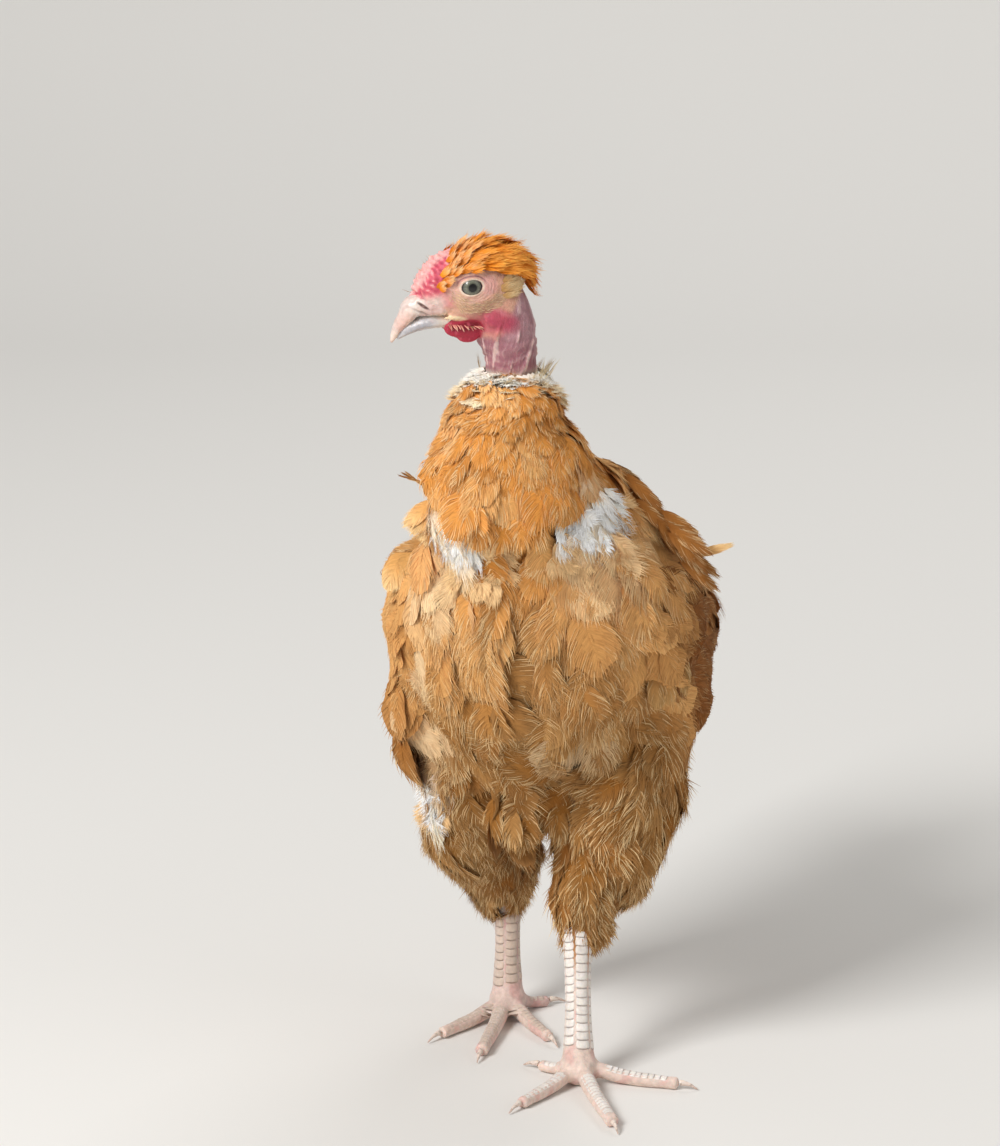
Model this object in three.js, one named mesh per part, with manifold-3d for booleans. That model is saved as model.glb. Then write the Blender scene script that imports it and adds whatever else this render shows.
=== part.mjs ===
// A life-size naked-neck hen, standing with one foot ahead of the other and its head turned to its right.
// Millimetres, +Z up. The hen faces -Y, so its left side is +X. The floor is z = 0, under the soles.
// The feathered pieces are solid out to the tips of the plumage; the face, neck and feet are bare skin.

import * as THREE from "three";
import { mergeVertices } from "three/addons/utils/BufferGeometryUtils.js";
import Module from "manifold-3d";

const wasm = await Module();
wasm.setup();

// ---------------------------------------------------------------- driving dimensions

const GAP = 0.3; // clearance between pieces that touch
const SIDES = { left: 1, right: -1 };
const FRONT = [0, -1, 0];
const UP = [0, 0, 1];

const TRUNK = { halfWidth: 71, back: 57, breast: 101, turn: -12 }; // turn: degrees about Z
const RUFF = { halfWidth: 39, depth: 38 };
const NECK = { radius: 12 };
const HEAD = { at: [-40.6, -36, 407.7], halfWidth: 15.5, turn: -78 }; // at: between the eyes
const EYE = { radius: 7, proud: 1.2 };
const COMB = { height: 4, thick: 3.2, points: 6, pointHeight: 1.7 };
const WATTLE = { length: 10.9, drop: 7.5, thick: 2.3 };
const LOBE = { length: 7.2, drop: 6, thick: 3 };
const TAIL = { pairs: 5, length: 96, width: 28 };
const FLIGHT = { count: 5, length: 94, width: 20 };
const BLADE = 2; // thickness of a flight or tail feather
const KNUCKLE = { across: 10.5, along: 12, high: 10.5 };
const CLAW = { length: 12, radius: 2.5 };

// Where each foot stands, and where its toes point, from straight ahead out to the foot's own side.
const FEET = {
  left: { at: [15.5, -54], headings: { inner: -37, middle: 14, outer: 76, hind: 236 } },
  right: { at: [-20, 41], headings: { inner: -26, middle: 12, outer: 42, hind: 246 } },
};
const TOES = {
  inner: { length: 45, radius: 4.6, arch: 5 },
  middle: { length: 62, radius: 5, arch: 5 },
  outer: { length: 48, radius: 4.6, arch: 5 },
  hind: { length: 20, radius: 4.2, arch: 7 },
};

// ---------------------------------------------------------------- solids and booleans

// A geometry's triangles as a manifold-3d solid.
function solidFrom(geometry) {
  const bare = geometry.clone();
  bare.deleteAttribute("normal");
  bare.deleteAttribute("uv");
  const merged = mergeVertices(bare, 1e-4);
  return new wasm.Manifold(
    new wasm.Mesh({
      numProp: 3,
      vertProperties: merged.attributes.position.array,
      triVerts: new Uint32Array(merged.index.array),
    }),
  );
}

function geometryFrom(solid) {
  const mesh = solid.getMesh();
  const geometry = new THREE.BufferGeometry();
  geometry.setAttribute("position", new THREE.BufferAttribute(mesh.vertProperties, 3));
  geometry.setIndex(new THREE.BufferAttribute(mesh.triVerts, 1));
  geometry.computeVertexNormals();
  return geometry;
}

// A cut can leave crumbs beside the piece, so only the largest body is kept.
function largest(solid) {
  const bodies = solid.decompose();
  return bodies.reduce((best, body) => (body.volume() > best.volume() ? body : best));
}

function join(geometries) {
  const solids = geometries.map(solidFrom);
  return geometryFrom(solids.reduce((whole, next) => whole.add(next)));
}

// The matrix that takes points of one frame into another.
function between(from, to) {
  from.updateWorldMatrix(true, false);
  to.updateWorldMatrix(true, false);
  return to.matrixWorld.clone().invert().multiply(from.matrixWorld);
}

// geometry, in the frame home, less each cutter: [function of its growth, the cutter's frame].
function carve(geometry, home, cutters) {
  let solid = solidFrom(geometry);
  for (const [shape, frame] of cutters) {
    const cutter = shape(GAP).applyMatrix4(between(frame, home));
    solid = solid.subtract(solidFrom(cutter));
  }
  return geometryFrom(largest(solid));
}

// ---------------------------------------------------------------- shape makers

// A closed body skinned over oval sections. A station is [x, y, z, half width, rise, drop]: its
// centre, and its reach to each side, towards `up`, and away from it. `square` above 2 fills out
// the sections' corners, and `grow` swells the whole body, for a cutter that leaves a clearance.
function loft(stations, { samples = 18, sides = 18, up = UP, square = 2, grow = 0 } = {}) {
  const centres = new THREE.CatmullRomCurve3(
    stations.map(([x, y, z]) => new THREE.Vector3(x, y, z)),
  );
  const sizes = new THREE.CatmullRomCurve3(
    stations.map(([, , , wide, rise, drop]) => new THREE.Vector3(wide, rise, drop)),
    false,
    "catmullrom",
  );
  const bend = (value) => Math.sign(value) * Math.abs(value) ** (2 / square);
  const upward = new THREE.Vector3(...up);
  const points = [];
  const ends = [];
  for (let i = 0; i <= samples; i++) {
    const t = i / samples;
    const centre = centres.getPoint(t);
    const ahead = centres.getTangent(t);
    const size = sizes.getPoint(t).addScalar(grow);
    const across = ahead.clone().cross(upward).normalize();
    const lift = across.clone().cross(ahead).normalize();
    for (let j = 0; j < sides; j++) {
      const angle = (2 * Math.PI * j) / sides;
      const reach = Math.sin(angle) > 0 ? size.y : size.z;
      points.push(
        centre
          .clone()
          .addScaledVector(across, size.x * bend(Math.cos(angle)))
          .addScaledVector(lift, reach * bend(Math.sin(angle))),
      );
    }
    if (i === 0 || i === samples) {
      const nose = 0.35 * Math.min(size.x, size.y, size.z) + grow;
      ends.push(centre.clone().addScaledVector(ahead, i === 0 ? -nose : nose));
    }
  }
  const triangles = [];
  for (let j = 0; j < sides; j++) {
    const next = (j + 1) % sides;
    for (let i = 0; i < samples; i++) {
      const here = i * sides;
      const there = here + sides;
      triangles.push(here + j, there + j, there + next, here + j, there + next, here + next);
    }
    const last = samples * sides;
    triangles.push(points.length, j, next, points.length + 1, last + next, last + j);
  }
  const geometry = new THREE.BufferGeometry().setFromPoints([...points, ...ends]);
  geometry.setIndex(triangles);
  return geometry;
}

// An ellipsoid of the given half sizes about a centre.
function ellipsoid([x, y, z], [wide, deep, high], grow = 0, detail = 12) {
  const ball = new THREE.SphereGeometry(1, detail, detail / 2);
  return ball.scale(wide + grow, deep + grow, high + grow).translate(x, y, z);
}

// A flat feather from its root at the origin along +Y, with its face up.
function blade(length, width, thick) {
  const half = width / 2;
  const outline = new THREE.Shape();
  outline.moveTo(-half * 0.45, 0);
  outline.lineTo(half * 0.45, 0);
  outline.quadraticCurveTo(half, length * 0.25, half, length * 0.6);
  outline.quadraticCurveTo(half, length * 0.95, 0, length);
  outline.quadraticCurveTo(-half, length * 0.95, -half, length * 0.6);
  outline.quadraticCurveTo(-half, length * 0.25, -half * 0.45, 0);
  const plate = new THREE.ExtrudeGeometry(outline, {
    depth: thick,
    bevelEnabled: false,
    curveSegments: 2,
  });
  return plate.translate(0, 0, -thick / 2);
}

// A blade rolled about its shaft, lifted at its tip, swung sideways and moved to its root.
function setBlade({ length, width, roll, lift, swing, at }) {
  const turn = new THREE.Euler(
    THREE.MathUtils.degToRad(lift),
    THREE.MathUtils.degToRad(roll),
    THREE.MathUtils.degToRad(swing),
    "ZXY",
  );
  const place = new THREE.Matrix4().makeRotationFromEuler(turn).setPosition(...at);
  return blade(length, width, BLADE).applyMatrix4(place);
}

// ---------------------------------------------------------------- frames

const hen = new THREE.Group();
const trunkFrame = new THREE.Group();
const headFrame = new THREE.Group();
const footFrames = { left: new THREE.Group(), right: new THREE.Group() };
hen.add(trunkFrame, headFrame, footFrames.left, footFrames.right);
trunkFrame.rotation.z = THREE.MathUtils.degToRad(TRUNK.turn);
headFrame.position.set(...HEAD.at);
headFrame.rotation.z = THREE.MathUtils.degToRad(HEAD.turn);
for (const [side, foot] of Object.entries(FEET)) {
  footFrames[side].position.set(...foot.at, 0);
}

// ---------------------------------------------------------------- finishes

const finish = (color, roughness) => new THREE.MeshStandardMaterial({ color, roughness, metalness: 0 });
const FINISH = {
  buff: finish("#c8924f", 0.85),
  ginger: finish("#c9802b", 0.8),
  chestnut: finish("#9c5a2c", 0.8),
  mauveSkin: finish("#a87f8c", 0.55),
  faceSkin: finish("#cf9185", 0.5),
  redSkin: finish("#c23a4c", 0.45),
  horn: finish("#dccabd", 0.35),
  shank: finish("#e2c4b8", 0.5),
  claw: finish("#cdb6a6", 0.35),
  eye: finish("#5d625c", 0.1),
};

// Adds a named mesh to a frame.
function add(name, geometry, material, frame) {
  const mesh = new THREE.Mesh(geometry, material);
  mesh.name = name;
  frame.add(mesh);
  return mesh;
}

// ---------------------------------------------------------------- trunk, in trunkFrame

// Shares of the trunk's largest half width, back and breast, from the neck down to the rump.
const TRUNK_STATIONS = [
  { y: -60, z: 318, wide: 0.26, back: 0.3, breast: 0.15 },
  { y: -50, z: 300, wide: 0.6, back: 0.74, breast: 0.34 },
  { y: -30, z: 272, wide: 0.87, back: 0.96, breast: 0.66 },
  { y: -7, z: 246, wide: 1, back: 1, breast: 0.92 },
  { y: 23, z: 222, wide: 1, back: 0.96, breast: 1 },
  { y: 56, z: 203, wide: 0.88, back: 0.86, breast: 0.86 },
  { y: 88, z: 194, wide: 0.66, back: 0.64, breast: 0.56 },
  { y: 114, z: 195, wide: 0.42, back: 0.42, breast: 0.3 },
  { y: 130, z: 200, wide: 0.2, back: 0.2, breast: 0.13 },
];
const trunk = (grow = 0) =>
  loft(
    TRUNK_STATIONS.map(({ y, z, wide, back, breast }) => [
      0, y, z, wide * TRUNK.halfWidth, back * TRUNK.back, breast * TRUNK.breast,
    ]),
    { samples: 13, sides: 18, grow },
  );

// ---------------------------------------------------------------- neck, in the hen's frame

// Shares of the ruff's half width and depth, from inside the breast up to the collar.
const RUFF_STATIONS = [
  { x: -22, y: -52, z: 266, wide: 0.62, deep: 0.6 },
  { x: -21, y: -49, z: 284, wide: 1, deep: 1 },
  { x: -21, y: -46, z: 304, wide: 1.01, deep: 1.01 },
  { x: -21, y: -42, z: 325, wide: 0.95, deep: 0.9 },
  { x: -20, y: -38, z: 344, wide: 0.77, deep: 0.76 },
  { x: -19, y: -36, z: 355, wide: 0.61, deep: 0.61 },
  { x: -19, y: -35, z: 359, wide: 0.36, deep: 0.36 },
];
const ruff = (grow = 0) =>
  loft(
    RUFF_STATIONS.map(({ x, y, z, wide, deep }) => [
      x, y, z, wide * RUFF.halfWidth, deep * RUFF.depth, deep * RUFF.depth,
    ]),
    { samples: 8, sides: 14, up: FRONT, grow },
  );

const NECK_STATIONS = [
  { x: -18.8, y: -35, z: 344, wide: 0.95, deep: 0.95 },
  { x: -18.4, y: -34.5, z: 362, wide: 1, deep: 1 },
  { x: -19, y: -34, z: 373, wide: 1.04, deep: 1 },
  { x: -21.3, y: -34, z: 382, wide: 1.24, deep: 1 },
  { x: -24.5, y: -34.5, z: 393, wide: 1.25, deep: 1.04 },
  { x: -28.5, y: -35, z: 404, wide: 1.12, deep: 1 },
];
const neck = (grow = 0) =>
  loft(
    NECK_STATIONS.map(({ x, y, z, wide, deep }) => [
      x, y, z, wide * NECK.radius, deep * NECK.radius, deep * NECK.radius,
    ]),
    { samples: 8, sides: 12, up: FRONT, grow },
  );

// ---------------------------------------------------------------- head, in headFrame

// Sections of the skull from the nape to the brow: forward and up of the eyes' middle.
const SKULL_STATIONS = [
  { forward: -25, up: -3, wide: 0.45, rise: 9, drop: 9 },
  { forward: -20, up: -2, wide: 0.8, rise: 15.5, drop: 15 },
  { forward: -11, up: -1.5, wide: 0.97, rise: 19, drop: 20 },
  { forward: -1, up: -2, wide: 1, rise: 19.5, drop: 21.5 },
  { forward: 8, up: -3, wide: 0.88, rise: 17.5, drop: 20 },
  { forward: 15, up: -5.5, wide: 0.7, rise: 14, drop: 16.5 },
  { forward: 20.5, up: -9.5, wide: 0.52, rise: 9, drop: 11.5 },
  { forward: 24, up: -12, wide: 0.4, rise: 5, drop: 7 },
];
const skull = (grow = 0) =>
  loft(
    SKULL_STATIONS.map(({ forward, up, wide, rise, drop }) => [
      0, -forward, up, wide * HEAD.halfWidth, rise, drop,
    ]),
    { samples: 11, sides: 14, grow },
  );

const eyeAt = (side) => [SIDES[side] * (HEAD.halfWidth + EYE.proud - EYE.radius), 0, 0];
const eye = (side) => (grow = 0) =>
  ellipsoid(eyeAt(side), [EYE.radius, EYE.radius, EYE.radius], grow);

// The crest of short feathers that hangs over the nape.
const CREST_STATIONS = [
  { forward: 9, up: 12, wide: 6, rise: 6, drop: 6 },
  { forward: 4.5, up: 13, wide: 13, rise: 8.3, drop: 8.5 },
  { forward: -3, up: 13, wide: 17, rise: 9.5, drop: 9 },
  { forward: -13, up: 12.5, wide: 18, rise: 10.3, drop: 9.5 },
  { forward: -23, up: 9.5, wide: 17, rise: 10, drop: 9.5 },
  { forward: -31, up: 5, wide: 12.5, rise: 10, drop: 8.5 },
  { forward: -37, up: -0.5, wide: 6, rise: 5.5, drop: 6.5 },
];
const crest = (grow = 0) =>
  loft(
    CREST_STATIONS.map(({ forward, up, wide, rise, drop }) => [0, -forward, up, wide, rise, drop]),
    { samples: 7, sides: 12, grow },
  );

// The comb runs up the forehead as a thin plate, its free edge cut into low rounded points.
const COMB_LINE = [
  [25, -8.5],
  [20.3, 0],
  [14.5, 8.5],
  [6, 13.5],
];
const COMB_ROOT = 2.5; // how far the plate reaches into the forehead
function comb(grow = 0) {
  const line = new THREE.SplineCurve(COMB_LINE.map(([forward, up]) => new THREE.Vector2(forward, up)));
  const samples = COMB.points * 4;
  const stations = [];
  for (let i = 0; i <= samples; i++) {
    const t = i / samples;
    const { x: forward, y: up } = line.getPoint(t);
    const swell = Math.sin(Math.PI * (0.12 + 0.76 * t)) ** 0.7;
    const point = COMB.pointHeight * Math.abs(Math.sin(Math.PI * COMB.points * t));
    const end = Math.min(1, 8 * t, 8 * (1 - t));
    const thick = (COMB.thick / 2) * (0.55 + 0.45 * end);
    stations.push([0, -forward, up, thick, COMB.height * swell + point, COMB_ROOT]);
  }
  return loft(stations, { samples, sides: 8, grow });
}

const UPPER_BEAK_STATIONS = [
  { forward: 11, up: -11, wide: 8.2, rise: 4.6, drop: 5.2 },
  { forward: 19, up: -11.2, wide: 7.6, rise: 6, drop: 4.7 },
  { forward: 25.5, up: -12.6, wide: 6.6, rise: 6.6, drop: 4.4 },
  { forward: 29.5, up: -17, wide: 4.9, rise: 4.6, drop: 3.2 },
  { forward: 33.6, up: -22.2, wide: 3.1, rise: 3, drop: 2.2 },
  { forward: 35.9, up: -26.6, wide: 1.5, rise: 1.6, drop: 1.3 },
  { forward: 36.8, up: -29, wide: 0.5, rise: 0.6, drop: 0.5 },
];
const LOWER_BEAK_STATIONS = [
  { forward: 8, up: -18.8, wide: 7.4, rise: 3, drop: 3.6 },
  { forward: 17.6, up: -19.4, wide: 6.4, rise: 3, drop: 3.3 },
  { forward: 25, up: -21.3, wide: 4.8, rise: 2.6, drop: 2.8 },
  { forward: 30.5, up: -24.2, wide: 3, rise: 1.9, drop: 1.9 },
  { forward: 33.8, up: -27.2, wide: 1, rise: 0.7, drop: 0.7 },
];
const beakLoft = (stations, samples) => (grow = 0) =>
  loft(
    stations.map(({ forward, up, wide, rise, drop }) => [0, -forward, up, wide, rise, drop]),
    { samples, sides: 12, grow },
  );
const upperBeak = beakLoft(UPPER_BEAK_STATIONS, 9);
const lowerBeak = beakLoft(LOWER_BEAK_STATIONS, 6);

const nostril = (side) => (grow = 0) =>
  ellipsoid([SIDES[side] * 7.6, -21.5, -10.3], [1.6, 2.6, 0.8], grow, 8);

const wattle = (side) => (grow = 0) =>
  ellipsoid([SIDES[side] * 6.5, -2.6, -23], [WATTLE.thick, WATTLE.length, WATTLE.drop], grow, 10);
const lobe = (side) => (grow = 0) =>
  ellipsoid([SIDES[side] * 13.8, 16, -17.5], [LOBE.thick, LOBE.length, LOBE.drop], grow, 10);

// ---------------------------------------------------------------- wings and tail, in trunkFrame

const WING_STATIONS = [
  { x: 51, y: -58, z: 264, thick: 5, rise: 8, drop: 10 },
  { x: 59, y: -44, z: 252, thick: 10, rise: 19, drop: 24 },
  { x: 67, y: -12, z: 236, thick: 13.5, rise: 32, drop: 40 },
  { x: 64.5, y: 26, z: 214, thick: 13, rise: 33, drop: 42 },
  { x: 57, y: 66, z: 197, thick: 11.5, rise: 27, drop: 33 },
  { x: 45, y: 100, z: 187, thick: 8, rise: 17, drop: 20 },
  { x: 36, y: 126, z: 183, thick: 3.5, rise: 7, drop: 8 },
];
const wing = (side) => (grow = 0) =>
  loft(
    WING_STATIONS.map(({ x, y, z, thick, rise, drop }) => [SIDES[side] * x, y, z, thick, rise, drop]),
    { samples: 9, sides: 12, square: 2.2, grow },
  );

// The folded flight feathers: a stack whose tips pass the wing's own, one below another.
function flight(side) {
  const blades = [];
  for (let i = 0; i < FLIGHT.count; i++) {
    blades.push(
      setBlade({
        length: FLIGHT.length - 5 * i,
        width: FLIGHT.width,
        roll: SIDES[side] * 80,
        lift: 2.5 * i - 16,
        swing: SIDES[side] * (15 - i),
        at: [SIDES[side] * (57 + 0.5 * i), 60 - 2 * i, 196 - 5.5 * i],
      }),
    );
  }
  return join(blades);
}

// Each half of the tail hangs from the ridge like one side of a tent.
function tail() {
  const blades = [rump()];
  for (const side of Object.values(SIDES)) {
    for (let i = 0; i < TAIL.pairs; i++) {
      blades.push(
        setBlade({
          length: TAIL.length - 3 * i,
          width: TAIL.width,
          roll: side * (68 - 3.5 * i),
          lift: 24 - 6.5 * i,
          swing: -side * 3.8 * i,
          at: [side * (2.5 + 2.3 * i), 108, 206 - 3 * i],
        }),
      );
    }
  }
  return join(blades);
}

// The coverts round the roots of the tail feathers.
const rump = (grow = 0) =>
  loft(
    [
      [0, 96, 200, 24, 18, 20],
      [0, 116, 206, 23, 17, 19],
      [0, 136, 214, 17, 14, 15],
      [0, 154, 223, 9, 9, 9],
      [0, 164, 228, 3, 4, 4],
    ],
    { samples: 6, sides: 10, grow },
  );

// ---------------------------------------------------------------- legs, in the hen's frame

const THIGH_STATIONS = {
  left: [
    [48, 2, 214, 9, 14, 14],
    [46, 0, 200, 20, 28, 30],
    [42.5, -3, 175, 28.5, 38, 40],
    [37, -7, 148, 34, 39, 40],
    [31, -12, 122, 34.5, 34, 36],
    [26, -17, 101, 27.5, 26, 29],
    [19.5, -21, 88, 19.5, 19, 20],
    [17, -24, 72, 15.5, 14, 15],
    [15, -26, 61, 9, 9, 10],
  ],
  right: [
    [-47, 6, 214, 9, 14, 14],
    [-46, 8, 200, 21, 28, 30],
    [-43.5, 12, 175, 28.5, 38, 40],
    [-41, 19, 148, 29.5, 39, 40],
    [-37.5, 28, 122, 29, 34, 35],
    [-33.5, 37, 101, 27, 27, 28],
    [-28, 45, 83, 23, 20, 20],
    [-23, 50, 66, 16.5, 14.5, 15],
    [-20, 51, 52, 9.5, 9, 10],
  ],
};
const thigh = (side) => (grow = 0) =>
  loft(THIGH_STATIONS[side], { samples: 9, sides: 13, up: FRONT, grow });

// From the hock, at the top, to the root of the toes.
const HOCK = { left: [15, -24, 79], right: [-20, 54, 74] };
const SHANK_SECTIONS = [
  { down: 0, wide: 8.4, front: 8.6, back: 9.6 },
  { down: 0.2, wide: 7.6, front: 8, back: 9 },
  { down: 0.45, wide: 6.5, front: 7.2, back: 8.2 },
  { down: 0.7, wide: 6.6, front: 7.2, back: 8 },
  { down: 0.88, wide: 7.6, front: 8, back: 8.2 },
  { down: 1, wide: 8.2, front: 8, back: 8 },
];
const shank = (side) => (grow = 0) => {
  const top = new THREE.Vector3(...HOCK[side]);
  const foot = new THREE.Vector3(...FEET[side].at, 9);
  return loft(
    SHANK_SECTIONS.map(({ down, wide, front, back }) => [
      ...top.clone().lerp(foot, down), wide, front, back,
    ]),
    { samples: 6, sides: 12, up: FRONT, grow },
  );
};

// ---------------------------------------------------------------- feet, in footFrames

// Cutting off what is under the floor leaves a flat on each sole.
const onFloor = (geometry) => {
  const floor = new THREE.BoxGeometry(400, 400, 40).translate(0, 0, -20);
  return geometryFrom(largest(solidFrom(geometry).subtract(solidFrom(floor))));
};

const knuckle = () => (grow = 0) =>
  ellipsoid([0, -1, 7.5], [KNUCKLE.across, KNUCKLE.along, KNUCKLE.high], grow, 10);

// A point of a toe's centre line: 0 at the knuckle, 1 at the root of the claw.
function toePoint(kind, side, t, height) {
  const heading = SIDES[side] * THREE.MathUtils.degToRad(FEET[side].headings[kind]);
  const reach = 3 + t * TOES[kind].length;
  return [reach * Math.sin(heading), -reach * Math.cos(heading), height];
}

// The toe swells at each joint, and its radius falls by a quarter towards the claw.
const toe = (kind, side) => (grow = 0) => {
  const { radius, arch } = TOES[kind];
  const steps = 8;
  const joints = kind === "hind" ? 1 : 3;
  const stations = [];
  for (let i = 0; i <= steps; i++) {
    const t = i / steps;
    const girth = radius * (1 - 0.24 * t) * (1 + 0.09 * Math.cos(2 * Math.PI * joints * t));
    const height = 0.86 * radius * (1 - 0.24 * t) + arch * Math.max(0, 1 - 1.6 * t) ** 2;
    stations.push([...toePoint(kind, side, t, height), girth, girth, girth]);
  }
  return loft(stations, { samples: 7, sides: 7, grow });
};

// The claw leaves the toe's end and curves down to just above the floor.
function claw(kind, side) {
  const start = 0.65 * TOES[kind].radius;
  const steps = 4;
  const stations = [];
  for (let i = 0; i <= steps; i++) {
    const t = i / steps;
    const girth = CLAW.radius * (1 - 0.85 * t);
    const height = start + 1.2 * Math.sin(Math.PI * t) - (start - 0.7) * t ** 1.6;
    const along = 1 + (CLAW.length * (t - 0.12)) / TOES[kind].length;
    const centre = toePoint(kind, side, along, Math.max(height, girth + 0.15));
    stations.push([...centre, girth * 0.75, girth, girth * 0.8]);
  }
  return loft(stations, { samples: 3, sides: 5 });
}

// ---------------------------------------------------------------- assembly

add("trunk", trunk(), FINISH.buff, trunkFrame);
add("ruff", carve(ruff(), hen, [[trunk, trunkFrame]]), FINISH.buff, hen);
add("neck", carve(neck(), hen, [[ruff, hen], [skull, headFrame]]), FINISH.mauveSkin, hen);

add("head", carve(skull(), headFrame, [[eye("left"), headFrame], [eye("right"), headFrame]]),
  FINISH.faceSkin, headFrame);
add("comb", carve(comb(), headFrame, [[skull, headFrame]]), FINISH.redSkin, headFrame);
add("crest", carve(crest(), headFrame, [[skull, headFrame], [comb, headFrame], [neck, hen]]),
  FINISH.ginger, headFrame);
add("beak_upper",
  carve(upperBeak(), headFrame, [
    [skull, headFrame], [comb, headFrame], [nostril("left"), headFrame], [nostril("right"), headFrame],
  ]),
  FINISH.horn, headFrame);
add("beak_lower", carve(lowerBeak(), headFrame, [[skull, headFrame], [upperBeak, headFrame]]),
  FINISH.horn, headFrame);
for (const side of Object.keys(SIDES)) {
  add(`eye_${side}`, eye(side)(), FINISH.eye, headFrame);
  add(`wattle_${side}`,
    carve(wattle(side)(), headFrame, [[skull, headFrame], [lowerBeak, headFrame], [neck, hen]]),
    FINISH.redSkin, headFrame);
  add(`lobe_${side}`, carve(lobe(side)(), headFrame, [[skull, headFrame], [neck, hen]]),
    FINISH.redSkin, headFrame);
}

add("tail", carve(tail(), trunkFrame, [[trunk, trunkFrame]]), FINISH.chestnut, trunkFrame);
for (const side of Object.keys(SIDES)) {
  const aroundLeg = side === "left" ? [] : [[thigh("left"), hen]];
  add(`thigh_${side}`, carve(thigh(side)(), hen, [[trunk, trunkFrame], ...aroundLeg]),
    FINISH.buff, hen);
  add(`wing_${side}`,
    carve(wing(side)(), trunkFrame, [
      [trunk, trunkFrame], [ruff, hen], [rump, trunkFrame], [thigh(side), hen],
    ]),
    FINISH.chestnut, trunkFrame);
  add(`flight_${side}`,
    carve(flight(side), trunkFrame, [
      [trunk, trunkFrame], [rump, trunkFrame], [wing(side), trunkFrame], [thigh(side), hen],
    ]),
    FINISH.chestnut, trunkFrame);
  add(`shank_${side}`, carve(shank(side)(), hen, [[thigh(side), hen]]), FINISH.shank, hen);

  const foot = footFrames[side];
  add(`foot_${side}`, onFloor(carve(knuckle()(), foot, [[shank(side), hen]])), FINISH.shank, foot);
  const taken = [[knuckle(), foot], [shank(side), hen]];
  for (const kind of Object.keys(TOES)) {
    const bare = carve(toe(kind, side)(), foot, taken);
    taken.push([toe(kind, side), foot]);
    add(`toe_${side}_${kind}`, onFloor(bare), FINISH.shank, foot);
    add(`claw_${side}_${kind}`, carve(claw(kind, side), foot, [[toe(kind, side), foot]]),
      FINISH.claw, foot);
  }
}

// The origin is on the floor, under the middle of the whole hen.
const bounds = new THREE.Box3().setFromObject(hen, true);
const middle = bounds.getCenter(new THREE.Vector3());
hen.position.set(-middle.x, -middle.y, -bounds.min.z);

export default hen;
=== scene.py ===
"""A naked-neck hen at life size, standing still: skin, horn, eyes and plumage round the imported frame.

Lengths inside the functions are millimetres, and meshes are in metres. The hen faces -Y.
"""

import math

import bmesh
import bpy
import numpy as np
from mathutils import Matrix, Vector
from mathutils.bvhtree import BVHTree
from numpy.random import default_rng


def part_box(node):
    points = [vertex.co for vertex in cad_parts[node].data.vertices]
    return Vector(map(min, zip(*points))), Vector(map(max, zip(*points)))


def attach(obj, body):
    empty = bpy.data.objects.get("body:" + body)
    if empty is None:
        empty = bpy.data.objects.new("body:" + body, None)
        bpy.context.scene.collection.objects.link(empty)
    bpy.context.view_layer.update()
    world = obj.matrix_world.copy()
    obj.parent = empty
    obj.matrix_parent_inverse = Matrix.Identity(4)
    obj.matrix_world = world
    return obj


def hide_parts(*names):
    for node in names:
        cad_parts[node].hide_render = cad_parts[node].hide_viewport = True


bl_info = {
    "name": "Naked-neck hen",
    "version": (1, 0, 0),
    "blender": (4, 5, 0),
    "location": "View3D > Sidebar > Hen",
    "description": "Builds a standing naked-neck hen and the studio round it",
    "category": "Object",
}

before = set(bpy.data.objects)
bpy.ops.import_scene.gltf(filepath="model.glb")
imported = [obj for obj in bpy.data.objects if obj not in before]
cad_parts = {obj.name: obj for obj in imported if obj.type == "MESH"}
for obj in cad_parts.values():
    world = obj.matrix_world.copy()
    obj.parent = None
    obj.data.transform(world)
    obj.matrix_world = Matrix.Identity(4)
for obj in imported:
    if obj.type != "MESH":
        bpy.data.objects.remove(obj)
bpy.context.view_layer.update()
MM = 0.001
SIDES = {"left": 1, "right": -1}
UP = np.array([0.0, 0.0, 1.0])

# ---------------------------------------------------------------- where things are, from the frame


def box_middle(node):
    low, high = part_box(node)
    return np.array(low + high) / 2 / MM


def unit(vectors):
    return vectors / np.maximum(np.linalg.norm(vectors, axis=-1, keepdims=True), 1e-9)


def square_to(normals, ways):
    """The ways, leant over until they are square to the normals."""
    return unit(ways - normals * (ways * normals).sum(axis=1, keepdims=True))


EYE_AT = {side: box_middle(f"eye_{side}") for side in SIDES}
HEAD_AT = (EYE_AT["left"] + EYE_AT["right"]) / 2
HEAD_AXES = np.empty((3, 3))  # rows: to the head's left, ahead and up
HEAD_AXES[0] = unit(EYE_AT["left"] - EYE_AT["right"])
HEAD_AXES[1] = HEAD_AXES[0][1], -HEAD_AXES[0][0], 0
HEAD_AXES[2] = UP
HEN_AT = HEAD_AT - np.array([-40.6, -36, 407.7])  # the spot on the floor that the body is set out from
TRUNK_TURN = math.radians(-12)
TRUNK_AXES = np.array([
    [math.cos(TRUNK_TURN), math.sin(TRUNK_TURN), 0],
    [-math.sin(TRUNK_TURN), math.cos(TRUNK_TURN), 0],
    [0, 0, 1],
])


def to_head(points):
    """World points as (to the left, ahead, up) of the middle between the eyes."""
    return (points - HEAD_AT) @ HEAD_AXES.T


def from_head(points):
    return np.asarray(points, float) @ HEAD_AXES + HEAD_AT


def to_trunk(points):
    """World points in the body's own frame: x to its left, y to its tail."""
    return (points - HEN_AT) @ TRUNK_AXES.T


def from_trunk(points):
    return np.asarray(points, float) @ TRUNK_AXES + HEN_AT


def from_floor(points):
    return points + HEN_AT


# ---------------------------------------------------------------- numbers and fields


def linear(colour):
    """An sRGB hex colour as linear red, green and blue."""
    values = [int(colour[i : i + 2], 16) / 255 for i in (1, 3, 5)]
    return np.array([v / 12.92 if v < 0.04045 else ((v + 0.055) / 1.055) ** 2.4 for v in values])


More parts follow.
